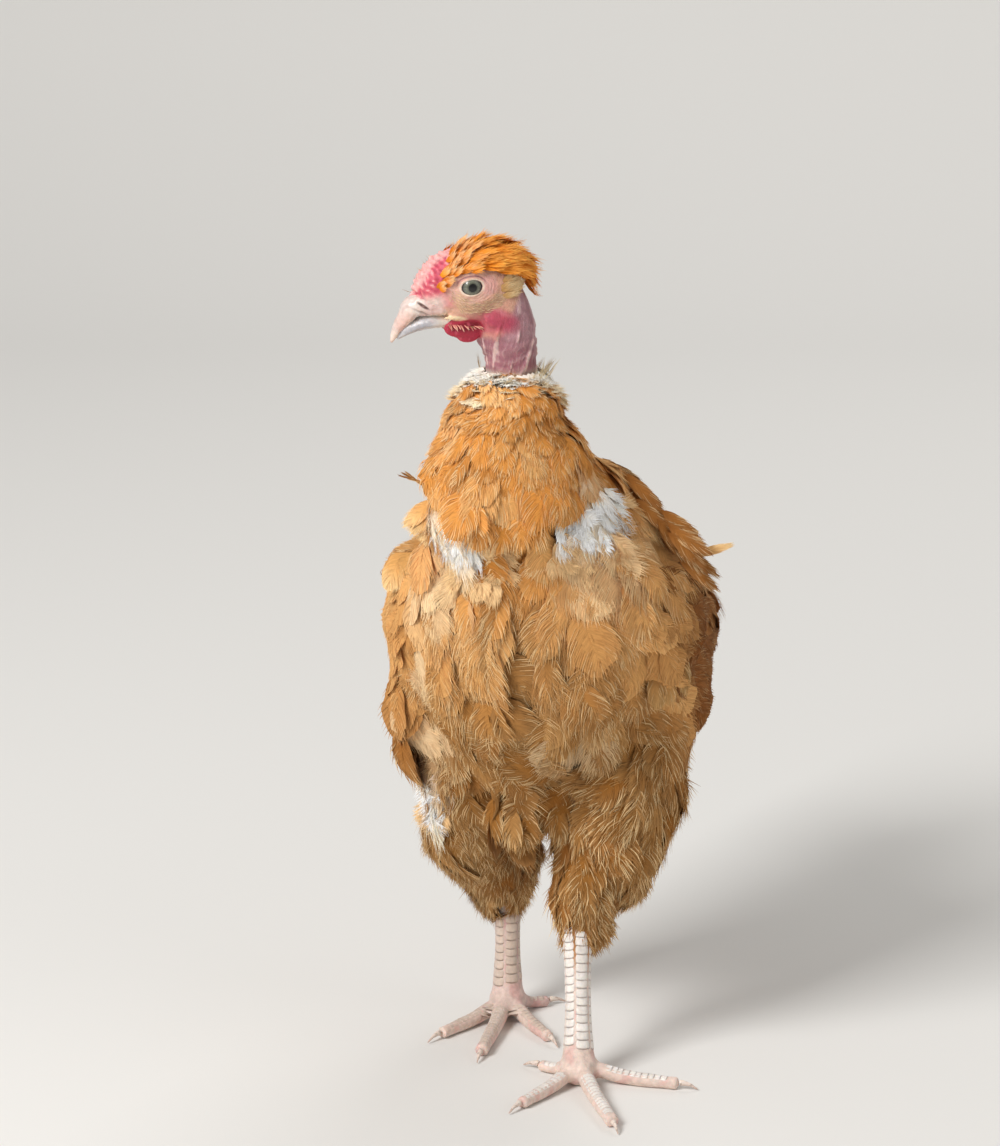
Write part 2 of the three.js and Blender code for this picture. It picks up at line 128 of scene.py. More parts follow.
def step(low, high, values):
    """0 below low, 1 above high and smooth between."""
    t = np.clip((np.asarray(values, float) - low) / (high - low), 0, 1)
    return t * t * (3 - 2 * t)


def wander(points, size, seed):
    """A smooth random field of about -1 to 1 that changes over the given size."""
    waves = 14
    draw = default_rng(seed)
    ways = unit(draw.normal(size=(waves, 3))) * (2 * np.pi / size) * draw.uniform(0.6, 1.5, (waves, 1))
    phases = draw.uniform(0, 2 * np.pi, waves)
    return np.sin(points @ ways.T + phases).sum(axis=1) / math.sqrt(waves)


def spot(places, centre, reach, turn=0.0, soft=0.35):
    """1 inside an oval of the plane and 0 outside, with a soft edge of that share."""
    c, s = math.cos(math.radians(turn)), math.sin(math.radians(turn))
    d = places - np.array(centre)
    q = np.hypot((d[:, 0] * c + d[:, 1] * s) / reach[0], (d[:, 1] * c - d[:, 0] * s) / reach[1])
    return 1 - step(1 - soft, 1 + soft, q)


def mix(base, colour, share):
    return base + (linear(colour) - base) * np.asarray(share)[:, None]


def layered(base, layers):
    """A base colour with tones laid over it in turn, each with its share at every point."""
    for colour, share in layers:
        base = mix(base, colour, share)
    return base


def gap_from(points, place):
    return np.linalg.norm(points - np.array(place), axis=1)


def about(points, place, reach):
    """1 about a place, and 0 further off than its reach."""
    return np.exp(-((gap_from(points, place) / reach) ** 4))


def spline(table, samples):
    """Rows drawn as a smooth curve through the table's rows."""
    table = np.asarray(table, float)
    at = np.linspace(0, len(table) - 1, samples)
    i = np.minimum(at.astype(int), len(table) - 2)
    t = (at - i)[:, None]
    p0, p1 = table[np.maximum(i - 1, 0)], table[i]
    p2, p3 = table[i + 1], table[np.minimum(i + 2, len(table) - 1)]
    square = 2 * p0 - 5 * p1 + 4 * p2 - p3
    return 0.5 * (2 * p1 + (p2 - p0) * t + square * t**2 + (3 * p1 - p0 - 3 * p2 + p3) * t**3)


# ---------------------------------------------------------------- meshes


def placed(name, data):
    """A new object in the scene."""
    thing = bpy.data.objects.new(name, data)
    bpy.context.scene.collection.objects.link(thing)
    return thing


def mesh_object(name, points, faces):
    """A new object from points in millimetres and one or more arrays of faces."""
    faces = [np.asarray(f, np.int32) for f in faces]
    loops = np.concatenate([f.ravel() for f in faces])
    sizes = np.concatenate([np.full(len(f), f.shape[1], np.int32) for f in faces])
    mesh = bpy.data.meshes.new(name)
    mesh.vertices.add(len(points))
    mesh.vertices.foreach_set("co", (np.asarray(points) * MM).astype(np.float32).ravel())
    mesh.loops.add(len(loops))
    mesh.loops.foreach_set("vertex_index", loops)
    mesh.polygons.add(len(sizes))
    mesh.polygons.foreach_set("loop_start", np.concatenate([[0], np.cumsum(sizes)[:-1]]).astype(np.int32))
    mesh.update(calc_edges=True)
    mesh.polygons.foreach_set("use_smooth", np.ones(len(sizes), bool))
    return placed(name, mesh)


def read(items, field, width, kind=np.float32):
    """A field of all a mesh's points, edges or corners, with a row for each."""
    flat = np.empty(len(items) * width, kind)
    items.foreach_get(field, flat)
    return flat.reshape(-1, width)


def points_of(thing):
    return read(thing.data.vertices, "co", 3).astype(float) / MM


def normals_of(thing):
    return read(thing.data.vertex_normals, "vector", 3).astype(float)


def edges_of(thing):
    return read(thing.data.edges, "vertices", 2, np.int32)


def corners_of(thing):
    """The point at each corner of each face."""
    return read(thing.data.loops, "vertex_index", 1, np.int32).ravel()


def bake_map_of(thing):
    return read(thing.data.uv_layers[0].uv, "vector", 2)


def lay_bake_map(thing, places):
    """Gives the thing its bake map, from a place on the map for each point."""
    layer = thing.data.uv_layers.new(name="OFBake")
    layer.uv.foreach_set("vector", places[corners_of(thing)].astype(np.float32).ravel())


def set_field(thing, name, kind, field, values):
    """Stores values for the points, under a name that the materials read."""
    layer = thing.data.attributes.new(name, kind, "POINT")
    layer.data.foreach_set(field, values.astype(np.float32).ravel())


def paint(thing, colours):
    rgba = np.column_stack([np.clip(colours, 0, 1), np.ones(len(colours))])
    set_field(thing, "Paint", "FLOAT_COLOR", "color", rgba)


def move_points(thing, points):
    thing.data.vertices.foreach_set("co", (points * MM).astype(np.float32).ravel())
    thing.data.update()


def relax(values, edges, rounds):
    """Draws each value half way to the mean of its neighbours' values."""
    count = np.maximum(np.bincount(edges.ravel(), minlength=len(values)), 1)
    for _ in range(rounds):
        total = np.empty_like(values)
        for k in range(values.shape[1]):
            column = values[:, k]
            total[:, k] = np.bincount(edges[:, 0], column[edges[:, 1]], len(values))
            total[:, k] += np.bincount(edges[:, 1], column[edges[:, 0]], len(values))
        values = values + 0.5 * (total / count[:, None] - values)
    return values


def relax_object(thing, rounds):
    move_points(thing, relax(points_of(thing), edges_of(thing), rounds))


def modify(thing, kind, **settings):
    """Adds a modifier and applies it."""
    modifier = thing.modifiers.new(kind.title(), kind)
    for key, value in settings.items():
        setattr(modifier, key, value)
    with bpy.context.temp_override(object=thing, active_object=thing):
        bpy.ops.object.modifier_apply(modifier=modifier.name)
    return thing


def voxels(thing, size):
    return modify(thing, "REMESH", mode="VOXEL", voxel_size=size * MM, use_smooth_shade=True)


def select(things):
    bpy.ops.object.select_all(action="DESELECT")
    for thing in things:
        thing.select_set(True)
    bpy.context.view_layer.objects.active = things[0]


def joined(things, name):
    """The things as one object."""
    select(things)
    bpy.ops.object.join()
    things[0].name = things[0].data.name = name
    return things[0]


def union(thing, other):
    modify(thing, "BOOLEAN", operation="UNION", solver="MANIFOLD", object=other)
    bpy.data.objects.remove(other)
    return thing


def node_copy(nodes, name, grow):
    """CAD nodes copied into one object, their triangles merged and swollen to close the gaps."""
    work = bmesh.new()
    for node in nodes:
        work.from_mesh(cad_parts[node].data)
    bmesh.ops.remove_doubles(work, verts=work.verts, dist=1e-6)
    work.normal_update()
    for vertex in work.verts:
        vertex.co += vertex.normal * grow * MM
    mesh = bpy.data.meshes.new(name)
    work.to_mesh(mesh)
    work.free()
    return placed(name, mesh)


def grid_quads(rows, sides, closed=True):
    """The faces of a grid of points, row after row."""
    i = np.arange(rows - 1)[:, None] * sides
    j = np.arange(sides if closed else sides - 1)
    k = (j + 1) % sides
    return np.stack([i + j, i + k, i + sides + k, i + sides + j], -1).reshape(-1, 4)


def loft(name, stations, place, samples=64, sides=48, up=UP):
    """A closed body over oval sections. A station is x, y, z, half width, rise and drop."""
    table = spline(stations, samples)
    centres, sizes = table[:, :3], table[:, 3:]
    ahead = unit(np.gradient(centres, axis=0))
    across = unit(np.cross(ahead, up))
    lift = np.cross(across, ahead)
    turn = 2 * np.pi * np.arange(sides) / sides
    c, s = np.cos(turn), np.sin(turn)
    reach = np.where(s > 0, sizes[:, 1:2], sizes[:, 2:3]) * s
    ring = centres[:, None] + across[:, None] * (sizes[:, :1] * c)[..., None]
    ring = ring + lift[:, None] * reach[..., None]
    nose = 0.35 * sizes.min(axis=1)[:, None] * ahead
    points = np.concatenate([ring.reshape(-1, 3), [centres[0] - nose[0], centres[-1] + nose[-1]]])
    quads = grid_quads(samples, sides)[:, ::-1]
    j, k = np.arange(sides), (np.arange(sides) + 1) % sides
    last = (samples - 1) * sides
    caps = np.concatenate([
        np.stack([np.full(sides, len(points) - 2), j, k], 1),
        np.stack([np.full(sides, len(points) - 1), last + k, last + j], 1),
    ])
    return outward(mesh_object(name, place(points), [quads, caps]))


def outward(thing):
    """The thing with all its faces turned outwards."""
    work = bmesh.new()
    work.from_mesh(thing.data)
    bmesh.ops.recalc_face_normals(work, faces=work.faces)
    work.to_mesh(thing.data)
    work.free()
    return thing


def ball(name, centre, reach, sides=32):
    """An oval ball with its poles at the sides of the head or body."""
    bpy.ops.object.select_all(action="DESELECT")
    bpy.ops.mesh.primitive_uv_sphere_add(segments=sides, ring_count=sides // 2, radius=MM)
    thing = bpy.context.object
    thing.name = thing.data.name = name
    move_points(thing, from_head(points_of(thing) * np.array(reach) + np.array(centre)))
    return thing


def surface(thing):
    """A search tree over the thing's faces, in millimetres."""
    faces = [tuple(p.vertices) for p in thing.data.polygons]
    return BVHTree.FromPolygons([Vector(p) for p in points_of(thing)], faces)


def nearest(tree, points):
    """For each point, the nearest place on the surface, its normal, its face and how far off it is."""
    found = [tree.find_nearest(Vector(p)) for p in points]
    return [np.array([hit[k] for hit in found]) for k in range(4)]


# ---------------------------------------------------------------- materials


def add_node(tree, kind, settings=None, out=0, **inputs):
    """Adds a node, sets its own settings, fills or links its inputs, and gives one of its outputs."""
    node = tree.nodes.new("ShaderNode" + kind)
    for key, value in (settings or {}).items():
        setattr(node, key, value)
    for key, value in inputs.items():
        socket = node.inputs[int(key[1:]) if key[0] == "_" and key[1:].isdigit() else key.replace("_", " ")]
        if isinstance(value, bpy.types.NodeSocket):
            tree.links.new(value, socket)
        else:
            socket.default_value = value
    return node.outputs[out]


def new_material(name):
    """A material with a Principled shader and nothing else, its node tree and the shader."""
    material = bpy.data.materials.new(name)
    material.use_nodes = True
    tree = material.node_tree
    tree.nodes.clear()
    output = tree.nodes.new("ShaderNodeOutputMaterial")
    shader = tree.nodes.new("ShaderNodeBsdfPrincipled")
    tree.links.new(shader.outputs["BSDF"], output.inputs["Surface"])
    return material, tree, shader


def add_texture(tree, shader, pattern, low, high, tone=None, relief=None, strength=0.0, height=0.0):
    """Colours the shader darker and lighter by a pattern, and roughens it by a relief if it has one.

    The colour is the painted one if no tone is given. height is that of the relief, in metres.
    """
    if tone is None:
        tone = add_node(tree, "Attribute", {"attribute_name": "Paint"}, "Color")
    shade = add_node(tree, "MapRange", _0=pattern, _1=0.3, _2=0.7, _3=low, _4=high)
    shaded = add_node(tree, "VectorMath", {"operation": "SCALE"}, _0=tone, Scale=shade)
    tree.links.new(shaded, shader.inputs["Base Color"])
    if relief is not None:
        bump = add_node(tree, "Bump", Strength=strength, Distance=height, Height=relief)
        tree.links.new(bump, shader.inputs["Normal"])


def set_inputs(shader, **values):
    for key, value in values.items():
        shader.inputs[key.replace("_", " ")].default_value = value


def finish_piece(thing, material, replaces=()):
    """Gives a piece its material and body, and hides the CAD nodes it stands for."""
    thing.data.materials.clear()
    thing.data.materials.append(material)
    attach(thing, "root")
    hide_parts(*replaces)
    return thing


# ---------------------------------------------------------------- shapes of the head

# Sections of the skull, from the middle between the eyes: ahead, up, half width, rise and drop.
SKULL = [
    (-25, -3, 7, 9, 9),
    (-20, -2, 12.4, 15.5, 15),
    (-11, -1.5, 15, 19, 20),
    (-1, -2, 15.5, 19.5, 21.5),
    (8, -3, 13.6, 17.5, 20),
    (15, -5.5, 10.9, 14, 16.5),
    (19.2, -9, 8, 9, 11),
    (21.8, -11, 5.6, 6, 6.5),
]
# The bare neck's centre line on the floor plan, its height, half width and half depth.
NECK = [
    (-18.8, -35, 340, 11.4, 11.4),
    (-18.4, -34.5, 362, 12, 12),
    (-19, -34, 373, 12.5, 12),
    (-21.3, -34, 382, 14.9, 12),
    (-24.5, -34.5, 393, 15, 12.5),
    (-28.5, -35, 404, 13.4, 12),
]
# The beak's halves, in the same way as the skull.
UPPER_BEAK = [
    (11, -11, 9.4, 4.6, 5.6),
    (19, -11.2, 8.4, 6.4, 5.2),
    (25.5, -12.6, 6.6, 6.6, 4.4),
    (29.5, -17, 4.9, 4.6, 3.2),
    (33.6, -22.2, 3.1, 3, 2.2),
    (35.9, -26.6, 1.5, 1.6, 1.3),
    (36.8, -29, 0.5, 0.6, 0.5),
]
LOWER_BEAK = [
    (6, -18.8, 7.6, 3.4, 3.6),
    (17.6, -19.4, 6.4, 4.2, 3.3),
    (25, -21.3, 4.8, 3.6, 2.8),
    (30.5, -24.2, 3, 3.2, 1.9),
    (33.8, -27.2, 1, 1.1, 0.7),
]
# The middle of the comb's plate, ahead and up of the eyes, from its front.
COMB_LINE = [(25, -8.5), (20.3, 0), (14.5, 8.5), (6, 13.5)]
COMB_POINTS = 8
EYE_RADIUS = 7.0
EYE_OUT = 9.7  # from the head's middle to the middle of an eyeball
LIDS = (5.3, 3.75, 6)  # half length and half height of the opening between the lids, and its tilt


def head_loft(name, stations, **settings):
    rows = [(0, ahead, up, wide, rise, drop) for ahead, up, wide, rise, drop in stations]
    return loft(name, rows, from_head, **settings)


def comb_plate():
    """The single comb: a fleshy plate up the forehead, cut into low rounded points."""
    line = spline(COMB_LINE, COMB_POINTS * 12 + 1)
    rows = []
    for i, (ahead, up) in enumerate(line):
        t = i / (len(line) - 1)
        swell = math.sin(math.pi * (0.12 + 0.76 * t)) ** 0.7
        point = 1.1 * abs(math.sin(math.pi * COMB_POINTS * t)) ** 0.8
        end = min(1, 8 * t, 8 * (1 - t))
        rows.append((0, ahead, up, 1.7 * (0.5 + 0.5 * end), 4.6 * swell + point, 4))
    return loft("comb", rows, from_head, samples=len(rows), sides=24)


# ---------------------------------------------------------------- skin

COAT_NODES = ["trunk", "ruff", "thigh_left", "thigh_right", "wing_left", "wing_right"]
TOE_KINDS = ["inner", "middle", "outer", "hind"]
LEG_NODES = [
    f"{part}_{side}{end}"
    for side in SIDES
    for part, end in [("shank", ""), ("foot", "")] + [("toe", f"_{kind}") for kind in TOE_KINDS]
]
# Sections of a shank from the hock down: how far down, half width, and reach to the front and back.
SHANK = [
    (0, 8.4, 8.6, 9.6),
    (0.2, 7.6, 8, 9),
    (0.45, 6.5, 7.2, 8.2),
    (0.7, 6.6, 7.2, 8),
    (0.88, 7.6, 8, 8.2),
    (1, 8.2, 8, 8),
]
# Sections of the rump, in the body's frame: place, half width, rise and drop.
RUMP = [
    (0, 96, 200, 24, 18, 20),
    (0, 116, 206, 23, 17, 19),
    (0, 136, 214, 17, 14, 15),
    (0, 154, 223, 9, 9, 9),
    (0, 164, 228, 3, 4, 4),
]
# Loose plumage that bridges the wings, flanks and thighs: middle and reach of each bunch.
BUNCHES = [
    ((-5, -66, 140), (15, 26, 15)),
    ((60, -42, 190), (14, 22, 32)),
    ((-60, -40, 190), (13.5, 22, 32)),
    ((-52, -76, 262), (12, 17, 30)),
]
FORK = BUNCHES[0]  # the one between the thighs
SHANKS = {"left": ((15, -24, 84), (15.5, -54, 9)), "right": ((-20, 54, 82), (-20, 41, 9))}  # hock and foot


def coat_outside():
    """The outside of the body's plumage, as one smooth closed shape."""
    grow = 0.8
    things = [node_copy(COAT_NODES, "coat_outside", grow)]
    things.append(loft("rump", RUMP, from_trunk, samples=24, sides=24))
    for middle, reach in BUNCHES:
        things.append(ball("bunch", to_head(np.array(middle, float)), reach))
    body = joined(things, "coat_outside")
    voxels(body, 2.6)
    relax_object(body, 9)
    move_points(body, points_of(body) - normals_of(body) * grow)
    relief(body)
    return body


def bib_edge(points):
    """The height of the ruff's hem on the breast: a V whose point hangs a little to the hen's right."""
    across = points[:, 0] + 22
    return 295 + np.where(across > 0, 0.0125, 0.018) * across**2


def bib(points, normals):
    """1 where the ruff lies over the breast, down to its hem."""
    z, edge = points[:, 2], bib_edge(points)
    return step(-2, 8, z - edge) * step(0.0, 0.45, -normals[:, 1]) * (1 - step(326, 350, z))


def relief(body):
    """Breast feathers part along the keel, and the plumage lies in soft overlapping bunches."""
    points, normals = points_of(body), normals_of(body)
    x, _, z = to_trunk(points).T
    front = step(0.25, 0.7, -(normals @ TRUNK_AXES.T)[:, 1])
    keel = np.exp(-(((x - 4 + 0.05 * (z - 200)) / 9) ** 2)) * step(100, 150, z) * (1 - step(232, 268, z))
    lumps = wander(points * np.array([1, 1, 0.75]), 46, 3) * 1.9 + wander(points, 24, 4) * 1.8
    shift = lumps - 5 * keel * front + 4.2 * bib(points, normals)
    shift -= 6 * about(points, (-76, -56, 266), 26)
    move_points(body, points + normals * shift[:, None])
    relax_object(body, 2)


def thickness(tree, points, normals, most):
    """How much body lies under each point."""
    depths = np.full(len(points), float(most))
    for i, (p, n) in enumerate(zip(points, normals)):
        hit = tree.ray_cast(Vector(p - n * 0.5), Vector(-n), most)
        if hit[0] is not None:
            depths[i] = hit[3]
    return depths


def body_flesh(outside, depth):
    """The skin under the plumage, deeper where the body is thick enough."""
    flesh = placed("body_flesh", outside.data.copy())
    points, normals = points_of(flesh), normals_of(flesh)
    room = thickness(surface(flesh), points, normals, 60)
    inset = relax(np.minimum(depth, 0.3 * room)[:, None], edges_of(flesh), 6)
    move_points(flesh, points - normals * inset)
    relax_object(flesh, 3)
    return flesh


def head_flesh():
    """Skull, neck, comb, wattles and earlobes in one."""
    neck = [(x, y, z, wide, deep, deep) for x, y, z, wide, deep in NECK]
    things = [
        head_loft("skull", SKULL),
        loft("neck", neck, from_floor, up=(0, -1, 0)),
    ]
    for sign in SIDES.values():
        lid = EYE_RADIUS + 0.75
        things.append(ball("lids", (sign * EYE_OUT, 0, 0), (lid, lid, lid), 48))
    flesh = voxels(joined(things, "head_flesh"), 0.8)
    relax_object(flesh, 12)
    things = [flesh, comb_plate()]
    for sign in SIDES.values():
        things.append(ball("wattle", (sign * 7, 3, -21.8), (2.6, 9.4, 5), 48))
        things.append(ball("wattle", (sign * 6.6, 0.5, -25), (2, 6, 4.4), 48))
        things.append(ball("gape", (sign * 8.9, 7.5, -16.2), (1.2, 5.5, 1), 48))
        things.append(ball("lobe", (sign * 13.1, -14.5, -17), (1.4, 8, 4.4), 48))
    voxels(joined(things, "head_flesh"), 0.66)
    relax_object(flesh, 4)
    return flesh


def leg_flesh():
    """Shanks, feet and toes, with each shank run on up to its hock."""
    grow = 0.5
    things = [node_copy(LEG_NODES, "leg_flesh", grow)]
    for top, foot in SHANKS.values():
        rows = [
            (*(np.array(top) + (np.array(foot) - top) * down), wide + grow, front + grow, back + grow)
            for down, wide, front, back in SHANK
        ]
        things.append(loft("shank", rows, from_floor, up=(0, -1, 0)))
    flesh = voxels(joined(things, "leg_flesh"), 1.15)
    relax_object(flesh, 7)
    points = points_of(flesh) - normals_of(flesh) * grow
    points[:, 2] = np.maximum(points[:, 2], 0.02)
    move_points(flesh, points)
    return flesh


def face_places(points):
    """Points in the head's frame, how many half openings of the lids off the eye, and the turn round it."""
    local = to_head(points)
    tilt = math.radians(LIDS[2])
    ahead, up = local[:, 1], local[:, 2]
    along = ahead * math.cos(tilt) - up * math.sin(tilt)
    above = up * math.cos(tilt) + ahead * math.sin(tilt)
    return local, np.hypot(along / LIDS[0], above / LIDS[1]), np.arctan2(above, along)


def refine_eyes(flesh):
    """Finer faces round the eyes, where the lids and their folds are small."""
    work = bmesh.new()
    work.from_mesh(flesh.data)
    for side in SIDES:
        centre = Vector(EYE_AT[side] * MM)
        out = Vector(HEAD_AXES[0] * SIDES[side])
        for low, high in ((0, 11), (2.6, 6.4)):
            edges = set()
            for face in work.faces:
                arm = face.calc_center_median() - centre
                across = (arm - out * arm.dot(out)).length
                if arm.dot(out) > MM and low * MM <= across < high * MM:
                    edges.update(face.edges)
            bmesh.ops.subdivide_edges(work, edges=list(edges), cuts=1, use_grid_fill=True)
    work.to_mesh(flesh.data)
    work.free()


def sculpt_face(flesh):
    """Opens the lids and presses in the folds of the face, comb and neck."""
    points, normals = points_of(flesh), normals_of(flesh)
    local, ring, turn = face_places(points)
    side = np.sign(local[:, 0])
    outer = step(0.25, 0.6, np.abs((normals @ HEAD_AXES.T)[:, 0]))
    near = (np.abs(local[:, 0]) > 8) & (ring < 4)
    # folds that run round the eye, deepest below and behind it
    wobble = 0.12 * wander(points, 6, 11)
    lower = 0.45 + 0.55 * step(-0.2, 0.8, -np.sin(turn) - 0.4 * np.cos(turn))
    folds = np.sin(2 * np.pi * (ring + wobble) / 0.42) * np.exp(-((ring - 1.75) / 0.75) ** 2) * lower
    crease = -np.exp(-((ring - 1.42 + 0.5 * wobble) / 0.09) ** 2) * step(-0.2, 0.5, np.sin(turn))
    rim = np.exp(-((ring - 1.12) / 0.12) ** 2)
    folds = folds * (0.55 + 0.45 * wander(points, 5, 16))
    shift = (0.2 * folds + 0.45 * crease + 0.3 * rim) * outer * near
    # fine wrinkles all over the face, and coarser ones on the comb and down the neck
    u, f = local[:, 2], local[:, 1]
    fine = 1 - np.abs(wander(points, 2.6, 12))
    face = step(1.3, 1.9, ring) * (1 - step(-20, -26, u) * (f > 12))
    shift = shift + 0.12 * fine * face * outer
    comb = comb_share(local)
    shift = shift + 0.5 * comb * comb_ribs(local)
    neck = step(-16, -24, u) * step(2, -6, f)
    shift = shift + neck * neck_cords(points)
    points = points + normals * shift[:, None]
    # the opening: its edge is a clean oval a little off the eyeball, and inside it the skin turns in
    local = to_head(points)
    for sign in SIDES.values():
        here = (side == sign) & (ring < 1.35) & (local[:, 0] * sign > EYE_OUT)
        snap = np.where(np.abs(ring - 1) < 0.05, 1 / np.maximum(ring, 0.1), 1.0)
        local[here, 1:] *= snap[here, None]
        eye = np.array([sign * EYE_OUT, 0, 0])
        arm = local - eye
        reach = np.linalg.norm(arm, axis=1)
        rest = EYE_RADIUS + 0.15 + 0.62 * step(0.98, 1.12, ring)
        target = np.where(ring < 0.95, EYE_RADIUS - 1.4, rest)
        blend = (1 - step(1.1, 1.35, ring)) * here
        wanted = eye + arm * (target / np.maximum(reach, 1e-6))[:, None]
        local = local + (wanted - local) * blend[:, None]
    move_points(flesh, from_head(local))


def comb_share(local):
    """1 on the comb and the creased skin that carries it, 0 elsewhere."""
    line = spline(COMB_LINE, 24)
    gap = np.min(np.hypot(local[:, 1:2] - line[:, 0], local[:, 2:] - line[:, 1]), axis=1)
    thin = 1 - step(5, 9, np.abs(local[:, 0]))
    return np.maximum((1 - step(4.5, 8, gap)) * thin, spot(local[:, 1:], (15.2, 4.5), (13.5, 5.6), 125, 0.3))


def comb_ribs(local):
    """Fine upright folds across the comb's plate."""
    along = 0.82 * local[:, 2] - 0.57 * local[:, 1]
    across = 0.57 * local[:, 2] + 0.82 * local[:, 1]
    streak = np.stack([local[:, 0], along, across / 3.5], 1)
    ribs = np.cos(2 * np.pi * (along + 0.5 * wander(streak, 5, 25)) / 2.7)
    return ribs * 0.55 + 0.5 * wander(streak, 2.6, 26)


def neck_cords(points):
    """Cords and slack folds of skin that run down the bare neck."""
    local = to_head(points)
    swing = np.arctan2(local[:, 0], local[:, 1] + 17)  # round the neck from its front
    lean = swing * 11 - 0.16 * local[:, 2] + 1.3 * wander(points * np.array([1, 1, 0.45]), 15, 21)
    coarse = np.cos(2 * np.pi * lean / 6.2)
    cords = np.maximum(coarse - 0.82, 0) * 3.4 * step(-0.9, 0.3, wander(points, 14, 22))
    small = np.maximum(np.cos(2 * np.pi * (lean + 0.6 * wander(points, 6, 23)) / 1.9) - 0.3, 0)
    rings = np.sin(2 * np.pi * (local[:, 2] + 2 * wander(points, 14, 24)) / 5.5)
    return 1.6 * cords + 0.25 * small + 0.08 * rings


def paint_skin(thing):
    """The skin's markings, with painted shade and highlights, as a colour at each point."""
    points = points_of(thing)
    z = points[:, 2]
    x, y, _ = to_trunk(points).T
    local, ring, turn = face_places(points)
    side, ahead, up = local.T
    face = np.stack([ahead, up], 1)
    leg = 1 - step(50, 64, z)
    bare = step(352, 362, z)
    cords = np.clip(neck_cords(points), 0, 1)
    head = step(-2, 2, ahead + 14 + 0.5 * (up + 26)) * step(-29, -23, up)
    comb, ribs = comb_share(local), comb_ribs(local)
    line = spline(COMB_LINE, 24)
    hem = np.min(np.hypot(ahead[:, None] - line[:, 0] - 3.2, up[:, None] - line[:, 1] - 2.6), axis=1)
    gape = spot(face, (8, -16.2), (6, 1.4), 4, 0.3) * (np.abs(side) > 6)
    wattle = [spot(face, (3, -21.8), (10.2, 5.8), 0, 0.12), spot(face, (0.5, -25.2), (7, 5), 0, 0.12)]
    wattle = np.maximum(*wattle) * step(3.2, 4.6, np.abs(side)) * step(-16.2, -17.6, up)
    buff = np.tile(linear("#b98355"), (len(points), 1))  # under the plumage: the plumage's colour, darker, as painted shade in the gaps between feathers
    paint(thing, layered(buff, (
        # legs, with painted shade on the right leg, which stands further back
        ("#e6cfc2", leg),
        ("#d79a94", leg * 0.45 * step(0.2, 1.0, wander(points, 13, 32))),
        ("#b98a8c", leg * 0.6 * step(4, -2, x) * step(10, 60, y)),
        # bare neck and its cords, and at its foot a pale band that stands for the white down and is painted
        # light over the shade in the collar's gaps
        ("#9b646d", bare),
        ("#f0e2d0", 0.9 * step(346, 352, z) * (1 - step(361, 366, z))),
        ("#e6c6c0", bare * np.clip(cords * 1.5, 0, 0.9)),
        ("#c39aa0", bare * 0.5 * step(-36, -24, up) * step(-10, -22, ahead)),
        ("#86555e", bare * 0.35 * step(0.1, 0.9, wander(points, 7, 31))),
        # face, lores and forehead
        ("#cf9a84", head),
        ("#dcae92", head * 0.5 * step(-0.2, 0.8, wander(points, 4, 33))),
        ("#d98d8c", spot(face, (13, -7), (5, 8.5), 24, 0.5) * 0.9),
        ("#e3b6a4", spot(face, (0.5, -1), (11, 7.6), -8, 0.25) * 0.9),
        ("#d9a09a", spot(face, (-8.5, 0.5), (4.2, 5), 0) * 0.7),
        # painted shade in the crease over the eye
        ("#8e5560", np.exp(-((ring - 1.42) / 0.1) ** 2) * step(0, 0.6, np.sin(turn)) * 0.8),
        # comb: painted highlights on its ribs' crests and along its top edge, and painted shade in the
        # grooves between the ribs
        ("#d85a6c", comb),
        ("#f6b9b4", comb * 0.75 * step(0.1, 0.9, ribs)),
        ("#b63a54", comb * 0.75 * step(0, -0.7, ribs)),
        ("#f7c3bb", comb * (1 - step(1.2, 2.6, hem)) * 0.7),
        ("#ecd5cb", spot(face, (19, -9.5), (6, 5), -25, 0.6) * (1 - 0.7 * comb)),
        ("#e3b59c", spot(face, (9, -14), (9, 3.4), 5, 0.5) * 0.7),
        # the cheek's red, which runs from the earlobe to the wattle
        ("#c2606a", spot(face, (-6, -20), (11, 4.2), 14, 0.6) * 0.9),
        ("#b5405a", spot(face, (-14, -17), (9.5, 5), 22, 0.45) * 0.9),
        # a thin painted highlight along the earlobe
        ("#d47f86", spot(face, (-16, -14), (4, 1.2), 25, 0.6) * 0.6),
        # wattle and gape
        ("#b12c44", wattle),
        ("#7c1727", wattle * spot(face, (2.5, -20.8), (7, 2.2), -8, 0.6) * 0.85),
        ("#f2dcb4", gape * 0.9),
        ("#d0566a", wattle * 0.7 * step(0.5, 1.3, wander(points, 3.4, 34))),
        # the lids' rim, and painted shade inside the opening
        ("#efd9c4", np.exp(-((ring - 1.07) / 0.09) ** 2) * (np.abs(side) > 9)),
        ("#3a2a2a", (ring < 0.97) * (np.abs(side) > 7) * 1.0),
    )))


def skin_material():
    """Poultry skin: thin, soft and slightly greasy, so light goes in a little way and it has a dull shine."""
    material, tree, shader = new_material("poultry_skin")
    where = add_node(tree, "TexCoord", out="Object")
    # pores and papillae stand about 0.7 mm apart
    grain = add_node(tree, "TexVoronoi", out="Distance", Vector=where, Scale=1400.0)
    mottle = add_node(tree, "TexNoise", out="Fac", Vector=where, Scale=420.0, Detail=4.0)
    both = add_node(tree, "Math", {"operation": "MULTIPLY_ADD"}, _0=grain, _1=0.6, _2=mottle)
    add_texture(tree, shader, mottle, 0.86, 1.1, relief=both, strength=0.55, height=0.0004)
    set_inputs(shader, Roughness=0.46, IOR=1.42, Subsurface_Weight=0.22, Subsurface_Scale=0.0016)
    shader.inputs["Subsurface Radius"].default_value = (1.0, 0.4, 0.25)
    return material


OUTSIDE = {}  # the plumage's outside, kept while the pieces are made


